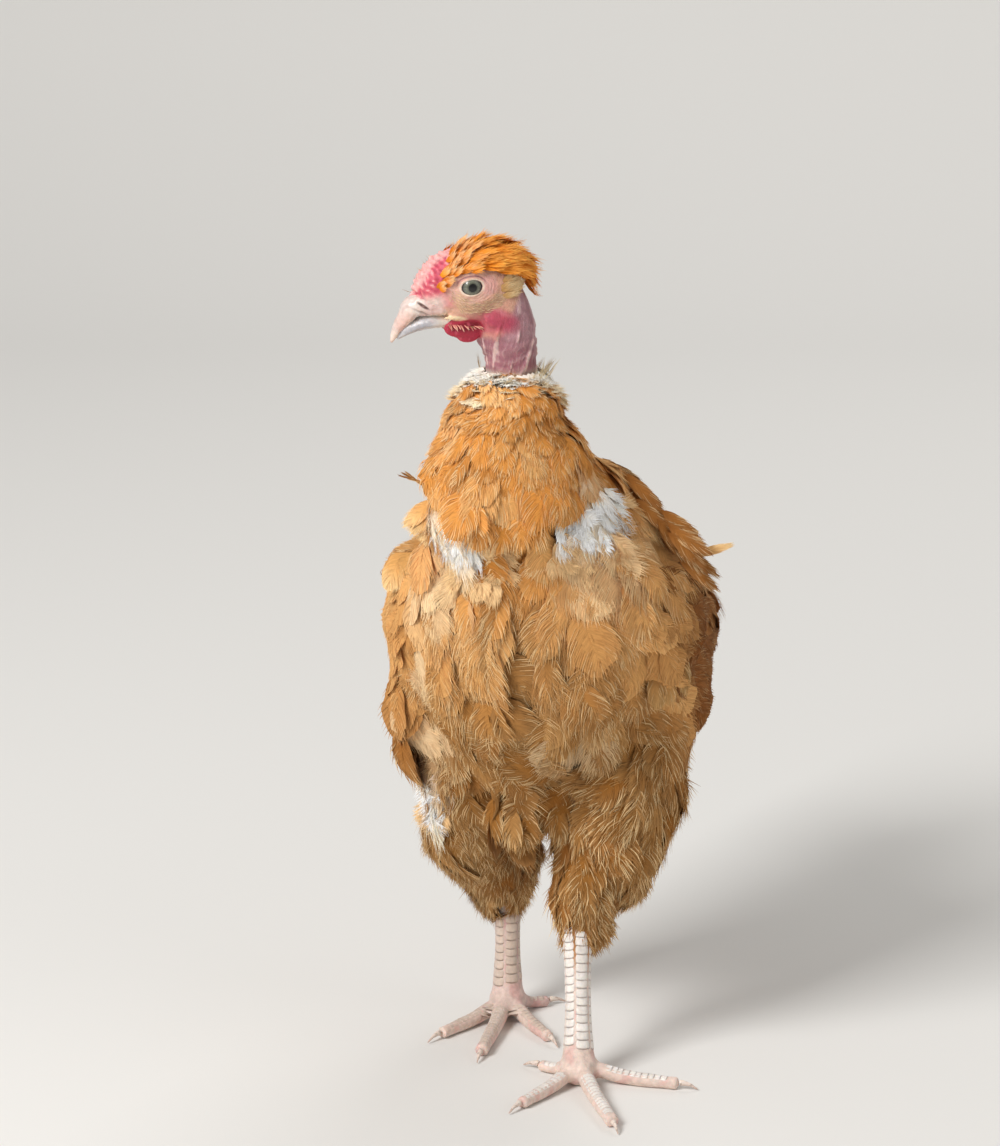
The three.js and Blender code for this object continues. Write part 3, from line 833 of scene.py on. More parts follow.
class HEN_OT_skin(bpy.types.Operator):
    """Makes one skin for the whole hen: body, head, neck and legs"""

    bl_idname = "hen.skin"
    bl_label = "Skin"

    def execute(self, context):
        outside = coat_outside()
        skin = body_flesh(outside, context.scene.hen_plumage.depth / MM)
        head = head_flesh()
        refine_eyes(head)
        sculpt_face(head)
        skin = union(skin, head)
        skin = union(skin, leg_flesh())
        skin.name = skin.data.name = "skin"
        for face in skin.data.polygons:
            face.use_smooth = True
        paint_skin(skin)
        flesh = COAT_NODES + LEG_NODES + ["neck", "head", "comb"]
        flesh += [f"{part}_{side}" for part in ("wattle", "lobe") for side in SIDES]
        finish_piece(skin, skin_material(), flesh)
        OUTSIDE["body"] = outside
        return {"FINISHED"}


# ---------------------------------------------------------------- plumage: places, lie and spines

GROUPS = {
    "trunk": ["trunk"],
    "ruff": ["ruff"],
    "thigh": ["thigh_left", "thigh_right"],
    "wing": ["wing_left", "wing_right"],
}
# The body's axis in its own frame, from the neck to the rump: y, z and the way the feathers lie.
AXIS = np.array([
    (-60, 318, 0.35, -0.94),
    (-50, 300, 0.5, -0.87),
    (-30, 272, 0.62, -0.78),
    (-7, 246, 0.74, -0.67),
    (23, 222, 0.84, -0.54),
    (56, 203, 0.96, -0.28),
    (88, 194, 1, -0.02),
    (114, 195, 0.98, 0.2),
    (130, 200, 0.95, 0.3),
])
SHOULDER_AT = (-68, -54, 276)  # the right shoulder, where the feathers lie close
SWEEP_AT = (10, -99, 180)  # a tuft of the belly that is swept over the parting of the thighs
TREES = {}  # the search trees of groups of nodes, made once


def unwrap(thing):
    """Lays the surface out flat, piece by piece, for the plumage's bake map."""
    select([thing])
    bpy.ops.object.mode_set(mode="EDIT")
    bpy.ops.mesh.select_all(action="SELECT")
    bpy.ops.uv.smart_project(angle_limit=math.radians(66), island_margin=0.002)
    bpy.ops.object.mode_set(mode="OBJECT")


def scatter(thing, spacing, seed, keep=None):
    """Random places on a surface, spaced as the function says: places, normals and map places."""
    thing.data.calc_loop_triangles()
    triangles = thing.data.loop_triangles
    corners, loops = (read(triangles, field, 3, np.int32) for field in ("vertices", "loops"))
    points, normals, maps = points_of(thing), normals_of(thing), bake_map_of(thing).astype(float)
    a, b, c = (points[corners[:, k]] for k in range(3))
    areas = np.linalg.norm(np.cross(b - a, c - a), axis=1) / 2
    middles = (a + b + c) / 3
    gaps = spacing(middles)
    if keep is not None:
        areas = areas * keep(middles, normals[corners[:, 0]])
    draw = default_rng(seed)
    weights = areas / gaps**2
    total = int(3.2 * weights.sum())
    chosen = draw.choice(len(triangles), total, p=weights / weights.sum())
    r = np.sqrt(draw.random(total))
    s = draw.random(total)
    parts = np.stack([1 - r, r * (1 - s), r * s], 1)[..., None]
    places = (points[corners[chosen]] * parts).sum(axis=1)
    facing = unit((normals[corners[chosen]] * parts).sum(axis=1))
    flats = (maps[loops[chosen]] * parts).sum(axis=1)
    kept = thin_out(places, gaps[chosen])
    return places[kept], facing[kept], flats[kept]


def even(number):
    """A function that gives the same number at every place."""
    return lambda places: np.full(len(places), float(number))


def thin_out(places, gaps):
    """The places left when each keeps its gap from those before it."""
    size = float(gaps.max())
    cells, kept = {}, []
    for i, (p, gap) in enumerate(zip(places.tolist(), gaps.tolist())):
        x, y, z = (int(v // size) for v in p)
        around = ((x + dx, y + dy, z + dz) for dx in (-1, 0, 1) for dy in (-1, 0, 1) for dz in (-1, 0, 1))
        near = [q for cell in around for q in cells.get(cell, ())]
        if all((p[0] - q[0]) ** 2 + (p[1] - q[1]) ** 2 + (p[2] - q[2]) ** 2 > gap * gap for q in near):
            cells.setdefault((x, y, z), []).append(p)
            kept.append(i)
    return np.array(kept)


def shares(points):
    """How far each point belongs to the trunk, ruff, thighs and wings."""
    gaps = np.array([nearest(surface_of_nodes(nodes), points)[3] for nodes in GROUPS.values()])
    weights = np.exp(-(gaps - gaps.min(axis=0)) / 3.5)
    weights /= weights.sum(axis=0)
    return dict(zip(GROUPS, weights))


def surface_of_nodes(nodes):
    """The search tree of a group of CAD nodes."""
    key = "+".join(nodes)
    if key not in TREES:
        copy = node_copy(nodes, "search", 0)
        TREES[key] = surface(copy)
        bpy.data.objects.remove(copy)
    return TREES[key]


def near_fork(points):
    """1 on the bunch of plumage between the thighs."""
    middle, reach = FORK
    return np.exp(-((np.linalg.norm((points - middle) / reach, axis=1) / 1.5) ** 4))


def behind(points):
    """0 over the wings' leading edges, which the breast's feathers cover, and 1 behind them."""
    x, y, _ = to_trunk(points).T
    return step(-62, -34, y + np.where(x > 0, 10, -36))


def lie(points, normals, share):
    """Which way the feathers lie: down the body from neck to tail, down the thighs and along the wings."""
    local = to_trunk(points)
    x, y, z = local.T
    gap = np.hypot(y[:, None] - AXIS[:, 0], z[:, None] - AXIS[:, 1])
    pull = np.exp(-((gap - gap.min(axis=1, keepdims=True)) / 14))
    down = pull @ AXIS[:, 2:] / pull.sum(axis=1, keepdims=True)
    body = np.stack([np.zeros_like(x), down[:, 0], down[:, 1] - 0.45], 1)
    front = step(0.2, 0.7, -(normals @ TRUNK_AXES.T)[:, 1])
    keel = x - 4 + 0.05 * (z - 200)
    inward = -np.sign(keel) * np.exp(-((np.abs(keel) - 16) / 16) ** 2) * front * step(110, 150, z)
    body[:, 0] += 0.5 * inward * (1 - share["ruff"])
    ruff = np.stack([-0.004 * (x + 10), np.full_like(x, -0.1), np.full_like(x, -1)], 1)
    strays = [0.1 * wander(points, 40, seed) for seed in (52, 53)]
    thigh = np.stack([strays[0], 0.16 + strays[1], np.full_like(x, -1)], 1)
    thigh[:, 0] -= 0.012 * np.clip(np.abs(x) - 30, 0, 40) * np.sign(x) * step(110, 160, z)
    wing = np.stack([-0.06 * np.sign(x), np.full_like(x, 0.9), np.full_like(x, -0.5)], 1)
    folded = share["wing"] * behind(points)
    ways = (
        unit(body) * (share["trunk"] + share["wing"] - folded)[:, None]
        + unit(ruff) * share["ruff"][:, None]
        + unit(thigh) * share["thigh"][:, None]
        + unit(wing) * folded[:, None]
    )
    ways = unit(ways @ TRUNK_AXES)
    fork = near_fork(points)[:, None]
    ways = ways * (1 - fork) + np.array([0, -0.25, -1]) * fork
    sweep = about(points, SWEEP_AT, 17)[:, None]
    ways = ways * (1 - sweep) + np.array([-0.85, -0.1, -0.5]) * sweep
    return square_to(normals, ways)


def swerve(ways, normals, angles):
    """The ways turned about the surface's normals."""
    c, s = np.cos(angles)[:, None], np.sin(angles)[:, None]
    return ways * c + np.cross(normals, ways) * s


def spines(places, normals, ways, lengths, tree, rows=5, cling=0.75):
    """Each feather's middle line as it follows the body: points and normals, row by row."""
    line, up = [places], [normals]
    pace = (lengths / (rows - 1))[:, None]
    for _ in range(rows - 1):
        ahead = line[-1] + ways * pace
        found, facing, _, gap = nearest(tree, ahead)
        hold = (cling * (1 - step(4, 14, gap)))[:, None]
        point = ahead + (found - ahead) * hold
        ways = unit(point - line[-1])
        point = line[-1] + ways * pace
        line.append(point)
        up.append(square_to(ways, unit(up[-1] * (1.4 - hold) + facing * hold)))
    return np.stack(line, 1), np.stack(up, 1)


# ---------------------------------------------------------------- plumage: how a feather is built

BARB_GAP, BARB_RUN = 0.8, 9.0  # mm over which the barbs' tone changes, across them and along them
MAP_SPOT = 0.003  # the size of a feather's own spot on the bake map, as a share of the map
FLIP = [0, 3, 2, 1]  # turns a quad over and keeps its diagonal
# Half a vane's barbs from base to tip, and shares of the way along them, for large and small feathers.
FINE_VANE = (1, 0.8, 0.6, 0.4, 0.2, 0), (0, 0.35, 0.65, 0.88)
SMALL_VANE = (1, 0.6, 0.3, 0), (0, 0.45, 0.88)


def spot_on_map(across, along):
    """Places on a feather's own spot of the bake map, for shares of its width and length."""
    return MAP_SPOT * (np.stack(np.broadcast_arrays(across, np.clip(along, 0, 1)), -1) - 0.5)


def three_to_a_ring(values):
    """The values of spikes' rings, given to their points: three to a ring, and one at the tip."""
    return np.concatenate([np.repeat(values[:, :, :-1], 3, axis=2), values[:, :, -1:]], 2)


def along_rows(rows, at):
    """Rows (feather, row, 3) read at a share of the way along, for an array of shares (feather, ...)."""
    t = np.clip(at, 0, 1) * (rows.shape[1] - 1)
    i = np.minimum(t.astype(int), rows.shape[1] - 2)
    first = np.arange(len(rows)).reshape((-1,) + (1,) * (at.ndim - 1))
    part = (t - i)[..., None]
    beyond = np.maximum(at - 1, 0)[..., None] * (rows.shape[1] - 1)
    return rows[first, i] * (1 - part - beyond) + rows[first, i + 1] * (part + beyond)


def fans(name, line, up, flats, tints, seed, *, width, locks, thick, stout, soft, depth=0.0, rise=0.0,
         curl=0.0, rough=0.06, rounding=0.4, lay=1.0, dome=0.2, pale=0.0):
    """Hairs and small feathers as one mesh: each is a fan of thin closed locks along its middle line.

    tints holds three colours for each feather, at its root, middle and tip. depth is how far the roots lie
    inside. soft is how far the shading follows the feather's face and not each lock's own round, and pale
    how much the tips fade.
    """
    count = len(line)
    draw = default_rng(seed)
    spread = np.linspace(-1, 1, locks)[None] + draw.normal(0, 0.5 / locks, (count, locks))
    spread = spread[:, :, None]
    ends = np.maximum(1 - rounding * spread**2 + draw.normal(0, 0.06, (count, locks, 1)), 0.2)
    layer = draw.normal(0, 1, (count, 1, 1)) * lay
    t = np.array([0, 0.5, 1.0])
    at = ends * t
    centre, normal = along_rows(line, at), unit(along_rows(up, at))
    ahead = unit(along_rows(unit(np.gradient(line, axis=1)), at))
    across = np.cross(ahead, normal)
    half = width / 2
    phase = draw.uniform(0, 2 * np.pi, (count, locks, 1))
    sway = np.sin(phase + at * draw.uniform(2, 5, (count, locks, 1))) * at * rough * half * 2
    offset = spread * half * (np.clip(at / 0.45, 0, 1) ** 0.7 + 0.15 * at**2.5) + sway
    height = (layer + draw.normal(0, 0.25, (count, locks, 1)) * lay) * at - depth * (1 - at) ** 2
    height = height + rise * at + curl * at**3 - dome * half * spread**2 * at
    path = centre + across * offset[..., None] + normal * height[..., None]
    facing = unit(normal + across * (2 * dome * spread * at)[..., None])
    broad = np.broadcast_to(half * 2 * stout / locks * np.array([0.6, 0.8]), at[..., :-1].shape)
    points, out = spikes(path, normal, facing, broad, thick, soft)
    faces, under = spike_faces(count * locks)
    shade = 1 + draw.normal(0, 0.06, (count, locks, 1, 1))
    row_at = three_to_a_ring(at)
    tint = along_rows(tints, np.clip(row_at, 0, 1)) * shade
    fade = pale * draw.random((count, locks, 1, 1)) * np.append(np.repeat(t[:-1], 3), 1.0)[:, None]
    tint = tint + (linear("#f8ecd6") - tint) * fade
    u = (np.arange(locks)[:, None] + np.array([0.1, 0.9, 0.5, 0.1, 0.9, 0.5, 0.5])) / locks
    places = flats[:, None, None] + spot_on_map(u, row_at)
    length = np.linalg.norm(line[:, -1] - line[:, 0], axis=1)[:, None, None]
    number = np.arange(locks)[:, None] * 3.7 + 11.3 * np.arange(count)[:, None, None]
    barb = np.stack(np.broadcast_arrays(number + u * 0.8, row_at * length / BARB_RUN, number * 0.37), -1)
    rows = (values.reshape(-1, values.shape[-1]) for values in (points, out, tint, barb, places))
    return coat_mesh(name, faces, under, *rows)


def spikes(path, normal, facing, broad, thick, soft):
    """Points and shading normals of thin three-sided spikes along paths (feather, lock, row, 3)."""
    way = unit(np.gradient(path, axis=2))
    beside = unit(np.cross(way, normal))[:, :, :-1]
    side = beside * broad[..., None] / 2
    base, face = path[:, :, :-1], facing[:, :, :-1]
    rows = np.stack([base - side, base + side, base + normal[:, :, :-1] * (broad[..., None] * thick)], 3)
    count = rows.shape[0] * rows.shape[1]
    points = np.concatenate([rows.reshape(count, -1, 3), path[:, :, -1].reshape(-1, 1, 3)], 1)
    out = np.stack([unit(face - beside * (1 - soft)), unit(face + beside * (1 - soft)), face], 3)
    return points, np.concatenate([out.reshape(count, -1, 3), facing[:, :, -1].reshape(-1, 1, 3)], 1)


def spike_faces(count):
    """The faces of closed spikes of two rings and a tip, and which of them are on the underside."""
    quads, tris = [(1, 0, 3, 4), (2, 1, 4, 5), (0, 2, 5, 3)], [(4, 3, 6), (5, 4, 6), (3, 5, 6), (0, 1, 2)]
    firsts = np.arange(count)[:, None, None] * 7
    faces = [(np.array(kind) + firsts).reshape(-1, len(kind[0])) for kind in (quads, tris)]
    return faces, [np.tile([True, False, False], count), np.tile([True, False, False, False], count)]


def coat_mesh(name, faces, under, points, out, tint, barb, places):
    """A piece of plumage. under tells of each face whether it is on the feather's underside."""
    thing = mesh_object(name, points, faces)
    sizes = np.concatenate([np.full(len(f), f.shape[1]) for f in faces])
    turned = np.where(np.repeat(np.concatenate(under), sizes), -1.0, 1.0)[:, None]
    thing.data.normals_split_custom_set((out[corners_of(thing)] * turned).astype(np.float32))
    paint(thing, tint)
    set_field(thing, "Barb", "FLOAT_VECTOR", "vector", barb)
    lay_bake_map(thing, places)
    return thing


def barb_places(e, q):
    """How far along and across a vane lies the share q of its barb e, from -1 past the tip at 0 to 1."""
    turn = math.radians(118) * np.abs(e)
    first, last = 0.12, 0.8  # where the first and last barbs leave the shaft
    root = last - (last - first) * np.abs(e)
    end_along, end_across = 0.6 + 0.4 * np.cos(turn), np.sin(turn)
    bend_along, bend_across = root + 0.42 * (end_along - root), 0.78 * end_across
    along = root * (1 - q) ** 2 + 2 * bend_along * q * (1 - q) + end_along * q**2
    return along, (2 * bend_across * q * (1 - q) + end_across * q**2) * np.sign(e)


def slab_faces(columns, rows):
    """The faces of a closed slab: its top is a grid, and its underside shares the grid's rim."""
    top = np.arange(columns * rows).reshape(columns, rows)
    under = top.copy()
    under[1:-1, 1:-1] = columns * rows + np.arange((columns - 2) * (rows - 2)).reshape(columns - 2, -1)
    quads = [
        np.stack([g[:-1, :-1], g[:-1, 1:], g[1:, 1:], g[1:, :-1]], -1).reshape(-1, 4) for g in (top, under)
    ]
    return np.concatenate([quads[0], quads[1][:, FLIP]])


def plumes(name, line, up, flats, tints, seed, *, width, barbs, depth, rise, lay, loose, beyond, stout,
           curl=0.5, pale=0.4, vane=FINE_VANE):
    """Contour feathers as one mesh: two closed half vanes on the middle line and a fringe of loose barbs.

    width, rise, curl, loose and pale may be one number or one for each feather. loose is how far the barbs
    part and stand off, beyond how far they run past the vane's edge, and pale how much some of them fade.
    """
    count = len(line)
    draw = default_rng(seed)
    length = np.linalg.norm(line[:, -1] - line[:, 0], axis=1)
    layer = draw.normal(0, 1, count) * lay
    wave = draw.uniform(0, 2 * np.pi, count)
    ahead = unit(np.gradient(line, axis=1))
    cream = linear("#f2d3a0")
    cup = 0.09  # how far the vanes bend down at their edges

    def each(value, ends=2):
        """A number for each feather, with so many axes after it."""
        return np.broadcast_to(np.asarray(value, float), count).reshape((-1,) + (1,) * ends)

    def lay_out(along, across, lift):
        """Places, normals, facings and ways across for spots of the vanes."""
        n = along.ndim - 1
        half = each(width, n) / 2
        centre, normal = along_rows(line, along), unit(along_rows(up, along))
        beside = np.cross(unit(along_rows(ahead, along)), normal)
        height = (each(layer, n) + each(rise, n)) * along + each(curl, n) * along**3
        height = height - cup * half * across**2 - each(depth, n) * np.maximum(1 - along, 0) ** 2
        height = height + 0.025 * half * np.sin(each(wave, n) + 5 * across + 4 * along) * along + lift
        points = centre + beside * (half * across)[..., None] + normal * height[..., None]
        root = up[:, :1].reshape((count,) + (1,) * n + (3,))
        return points, normal, unit(normal + root + beside * (2.8 * cup * across)[..., None])

    def colours(along, share, tone):
        tint = along_rows(tints, np.clip(along, 0, 1)) * tone
        return tint + (cream - tint) * np.clip(each(pale, along.ndim - 1) * share, 0, 1)[..., None]

    def barb_of(e, q):
        """Where spots of barbs are for the pattern that follows the barbs."""
        n = e.ndim - 1
        span = (each(width, n) / 2 + 0.42 * each(length, n)) / BARB_GAP
        number = 17.3 * np.arange(count).reshape((-1,) + (1,) * n)
        return np.stack(np.broadcast_arrays(e * span, q * each(width, n) / BARB_RUN, number), -1)

    def patch_of(along, across):
        middles = flats.reshape((count,) + (1,) * (along.ndim - 1) + (2,))
        return middles + spot_on_map(0.5 + 0.5 * np.clip(across, -1, 1), along)

    parts = []
    for sign in (-1, 1):
        columns, shares_out = (np.array(values, float) for values in vane)
        e = np.broadcast_to(sign * np.maximum(columns, 1e-3)[:, None], (count, len(columns), len(shares_out)))
        q = np.broadcast_to(shares_out, e.shape) * (1 + 0.09 * draw.normal(size=e.shape) * (shares_out > 0.8))
        along, across = barb_places(e, q)
        across = across - sign * 0.05 * (q == 0)
        points, normal, facing = lay_out(along, across, 0.0)
        tint = colours(along, 0.25 * q**2, 1.0)
        barb, patch = barb_of(e, q), patch_of(along, across)
        inner = (slice(None), slice(1, -1), slice(1, -1))
        low = points[inner] - normal[inner] * (0.08 + 0.015 * each(width, 3))
        # the vanes' undersides are painted darker: painted shade
        rows = [np.concatenate([a.reshape(count, -1, a.shape[-1]), b.reshape(count, -1, a.shape[-1])], 1)
                for a, b in ((points, low), (facing, facing[inner]), (tint, tint[inner] * 0.8),
                             (barb, barb[inner]), (patch, patch[inner]))]
        quads = slab_faces(len(columns), len(shares_out))
        quads = quads if sign > 0 else quads[:, FLIP]
        firsts = np.arange(count)[:, None, None] * rows[0].shape[1]
        under = np.tile(np.arange(len(quads)) >= len(quads) // 2, count)
        parts.append(([(quads + firsts).reshape(-1, 4)], [under], [r.reshape(-1, r.shape[-1]) for r in rows]))
    # the fringe
    e = np.linspace(-0.85, 0.85, barbs) + draw.normal(0, 0.5 / barbs, (count, barbs))
    first = draw.uniform(0.12, 0.65, (count, barbs))
    last = 1 + beyond * draw.uniform(0.35, 1.25, (count, barbs))
    t = np.array([0, 0.5, 1.0])
    q = first[..., None] + (last - first)[..., None] * t
    clump = np.sin(2 * np.pi * (e * barbs / 9 + draw.random((count, 1))))
    clump = clump * 0.5 + 0.5 * draw.normal(size=e.shape)
    spin = draw.normal(0, 1, (count, 1)) * 0.4 + draw.normal(size=e.shape)
    e_t = e[..., None] - 1.6 / barbs * (clump * (0.4 + each(loose, 1)))[..., None] * t**1.5
    along, across = barb_places(e_t, q)
    lift = 0.01 * each(width) + (each(loose) * (1.2 + 1.6 * spin[..., None])) * t**2 * 1.6
    path, normal, facing = lay_out(along, across, lift)
    broad = stout * draw.uniform(0.75, 1.25, (count, barbs, 1)) * np.array([0.8, 1.0])
    points, out = spikes(path, normal, facing, broad, 0.3, 0.7)
    tone = 1.04 + draw.normal(0, 0.06, (count, barbs, 1, 1))
    share = (0.2 + 1.6 * (draw.random((count, barbs, 1)) > 0.7)) * q
    rows = colours(along, share, tone), barb_of(e_t, q), patch_of(along, across)
    rows = [three_to_a_ring(values) for values in rows]
    rows = [values.reshape(-1, values.shape[-1]) for values in (points, out, *rows)]
    parts.append((*spike_faces(count * barbs), rows))
    sheets, first = [], 0
    for faces, under, rows in parts:
        sheets += [(kind + first, low) for kind, low in zip(faces, under)]
        first += len(rows[0])
    sheets = [[sheet for sheet in sheets if sheet[0].shape[1] == size] for size in (4, 3)]
    faces, under = ([np.concatenate([sheet[k] for sheet in kind]) for kind in sheets] for k in (0, 1))
    rows = (np.concatenate([rows[k] for _, _, rows in parts]) for k in range(5))
    return coat_mesh(name, faces, under, *rows)


# ---------------------------------------------------------------- plumage: colours

# Bare-looking patches of white down: place and reach.
WHITE_DOWN = [
    ((-56, -95, 293), 9),
    ((-46, -103, 285), 13.5),
    ((-34, -112, 280), 10),
    ((28, -94, 300), 13.5),
    ((14, -104, 293), 10),
    ((34, -93, 291), 10),
    ((21, -104, 287), 10),
    ((3, -110, 287), 7),
    ((-63, -38, 129), 12),
    ((-60, -36, 115), 8),
]
# Paler spots of the breast and belly: place, reach and how pale. The four down the hen's right flank, under
# the key lamp, are painted light; the rest are paler tufts.
PALE_AND_PAINTED_LIGHT_SPOTS = [
    ((-18, -76, 357), 17, 0.5),
    ((-36, -84, 332), 20, 0.4),
    ((14, -92, 308), 13, 0.6),
    ((-48, -98, 266), 24, 0.8),
    ((-61, -83, 245), 22, 0.6),
    ((-61, -72, 203), 19, 0.65),
    ((-61, -50, 166), 19, 0.65),
    ((27, -106, 270), 26, 0.55),
    ((3, -92, 173), 9, 0.7),
    ((19, -91, 172), 11, 0.5),
    ((-18, -96, 226), 8, 0.4),
]
# Painted shade down the parting of the breast and between the thighs, in the same way.
PAINTED_SHADE_SPOTS = [
    ((-18, -114, 239), 17, 0.6),
    ((-15, -112, 216), 14, 0.75),
    ((-36, -104, 210), 12, 0.4),
    ((-15, -104, 194), 12, 0.7),
    ((-16, -66, 140), 16, 0.75),
    ((-19, -40, 112), 19, 0.75),
    ((-16, -98, 328), 17, 0.35),
]


def whiteness(points):
    """1 on the patches of white down and 0 elsewhere, with ragged edges."""
    fuzz = wander(points, 9, 61) * 0.13
    value = np.zeros(len(points))
    for centre, reach in WHITE_DOWN:
        value = np.maximum(value, 1 - step(0.55, 1.15, gap_from(points, centre) / reach + fuzz))
    return value


def plumage_tints(points, normals, share, seed):
    """Root, middle and tip colours of each feather, by its place on the hen."""
    draw = default_rng(seed)
    count = len(points)
    x, y, z = to_trunk(points).T
    ahead = -(normals @ TRUNK_AXES.T)[:, 1]
    low = 1 - step(155, 255, z)
    back = step(-5, 45, y) * step(150, 210, z)
    edge = np.where(x > 0, step(0.45, 0.85, ahead), step(0.05, 0.6, ahead))
    brown = share["wing"] * (1 - edge) * (0.65 + 0.35 * step(-10, 10, x)) * (0.1 + 0.9 * behind(points))
    blotch = wander(points, 30, 62)
    layers = [
        ("#d98f40", share["ruff"]),
        # the lower body darker: partly its own colour, partly painted shade
        ("#96622a", low * (1 - share["wing"])),
        ("#b97034", back * (1 - share["wing"])),
        ("#743c12", brown),
        ("#f0c283", (0.5 - 0.3 * low) * step(0.1, 1.2, blotch) * (1 - brown)),
        ("#9c602a", 0.45 * step(0.1, 1.2, -blotch)),
    ]
    # pale spots, partly painted light, then spots of painted shade
    for tone, spots, number in (("#f7dcb2", PALE_AND_PAINTED_LIGHT_SPOTS, 63), ("#80501f", PAINTED_SHADE_SPOTS, 65)):
        fuzz = 0.2 * wander(points, 9, number)
        for centre, reach, amount in spots:
            layers.append((tone, amount * (1 - step(0.3, 1.1, gap_from(points, centre) / reach + fuzz))))
    white = np.clip(whiteness(points), 0, 1)
    middle = layered(np.tile(linear("#dea463"), (count, 1)), [*layers, ("#fbeedb", white)])
    middle = middle * (1 + draw.normal(0, 0.045, (count, 1)))
    root = middle * (0.92 + 0.04 * white[:, None])
    tip = mix(middle, "#f1c98a", (0.05 + 0.1 * draw.random(count)) * (1 - 0.7 * brown))
    return np.clip(np.stack([root, middle, tip], 1), 0, 1)


def feather_material(name="contour_feather"):
    """Soft contour feather: matt barbs, whose fine lines break up the light."""
    material, tree, shader = new_material(name)
    # barbs are about 0.4 mm apart; their tone changes every 0.8 mm here so that it shows
    along = add_node(tree, "Attribute", {"attribute_name": "Barb"}, "Vector")
    barbs = add_node(tree, "TexNoise", out="Fac", Vector=along, Scale=1.0, Detail=2.0)
    add_texture(tree, shader, barbs, 0.84, 1.14, relief=barbs, strength=0.35, height=0.0003)
    set_inputs(shader, Roughness=0.7, IOR=1.5, Specular_IOR_Level=0.06)
    return material


def body_spacing(points):
    """Feathers stand closer on the ruff and about the hocks."""
    hock = 1 - step(66, 125, points[:, 2])
    neck = step(290, 352, points[:, 2])
    flank = step(50, 62, np.abs(to_trunk(points)[:, 0])) * step(60, 125, points[:, 2])
    return 6.5 - 2.55 * hock - 2.6 * neck - 0.5 * flank - 2 * near_fork(points)


def under_hem(points, normals):
    """The strip under the ruff's hem, which its feathers cover and where none is rooted."""
    above = points[:, 2] - bib_edge(points)
    return (above > 1) & (above < 9) & (normals[:, 1] < -0.35)


def under_fork(points, normals):
    """The underside between the thighs, where feathers would hang loose."""
    return (points[:, 2] < 168) & (np.abs(points[:, 0] + 5) < 28) & (normals[:, 2] < -0.42)


def body_feathers(outside, tree, depth):
    """The body's contour feathers, one piece for each group so that no piece is too heavy."""
    places, normals, flats = scatter(
        outside, body_spacing, 71, keep=lambda p, n: ~under_hem(p, n) & ~under_fork(p, n)
    )
    share = shares(places)
    draw = default_rng(72)
    count = len(places)
    hock = 1 - step(62, 125, places[:, 2])
    collar = step(318, 358, places[:, 2])
    bend = 0.45 * wander(places, 42, 73) + draw.normal(0, 0.15, count)
    bend *= 1 - 0.65 * share["wing"] * behind(places)
    ways = swerve(lie(places, normals, share), normals, bend)
    lengths = 38 * (1 + draw.normal(0, 0.1, count)) * (1 - 0.5 * hock) * (1 - 0.5 * collar)
    hem = bib(places, normals) * (1 - step(18, 42, places[:, 2] - bib_edge(places)))
    lengths *= 1 - 0.1 * share["ruff"] - 0.05 * share["wing"] - 0.42 * near_fork(places)
    above = places[:, 2] - bib_edge(places)
    lengths = np.where((hem > 0.3) & (above > 6), np.minimum(lengths, 1.08 * (above + 9)), lengths)
    cling = 0.75 - 0.4 * hem * step(0.3, 0.8, -normals[:, 1]) - 0.35 * near_fork(places)
    shoulder = about(places, SHOULDER_AT, 27)
    cling += (1 - cling) * shoulder
    lengths *= 1 - 0.4 * shoulder
    line, up = spines(places, normals, ways, lengths, tree, cling=cling)
    seen = line[:, 3]  # the part of a feather that the next ones leave bare
    white = whiteness(seen)
    tints = plumage_tints(seen, normals, share, 74)
    side = to_trunk(places)[:, 0]
    loose = 0.22 + 0.4 * share["thigh"] - 0.1 * share["wing"] + 0.5 * near_fork(places)
    broad = 0.62 - 0.06 * share["ruff"] - 0.12 * share["thigh"] - 0.18 * share["wing"] * behind(places)
    broad = broad - 0.22 * near_fork(places) - 0.2 * white - 0.28 * shoulder
    groups = {
        "wing_coverts": share["wing"] > 0.5,
        "ruff_plumage": share["ruff"] > 0.5,
        "thigh_plumage_left": (share["thigh"] > 0.5) & (side > 0),
        "thigh_plumage_right": (share["thigh"] > 0.5) & (side <= 0),
    }
    rest = ~np.any(list(groups.values()), axis=0)
    x, y, z = to_trunk(places).T
    front = y < -18 - 0.35 * (z - 230)
    groups["breast_plumage_left"] = rest & front & (x >= 4)
    groups["breast_plumage_right"] = rest & front & (x < 4)
    groups["back_plumage_left"] = rest & ~front & (x >= 4)
    groups["back_plumage_right"] = rest & ~front & (x < 4)
    things = {}
    for number, (name, here) in enumerate(groups.items()):
        i = np.flatnonzero(here)
        wing = name == "wing_coverts"
        things[name] = plumes(
            name, line[i], up[i], flats[i], tints[i], 75 + number,
            width=lengths[i] * broad[i] * (1 - 0.1 * hock[i]),
            barbs=22 if wing else 52 if rest[i[0]] else 42,
            stout=0.45,
            depth=depth * 0.8,
            rise=0.1,
            curl=draw.normal(0.1, 0.3, len(i)) * (0.3 if wing else 1) + 0.4 * share["thigh"][i],
            loose=loose[i] + 0.3 * white[i],
            lay=0.2,
            beyond=0.12 if wing else 0.28,
            pale=(0.15 if wing else 0.4) + 0.1 * share["thigh"][i],
        )
    return things


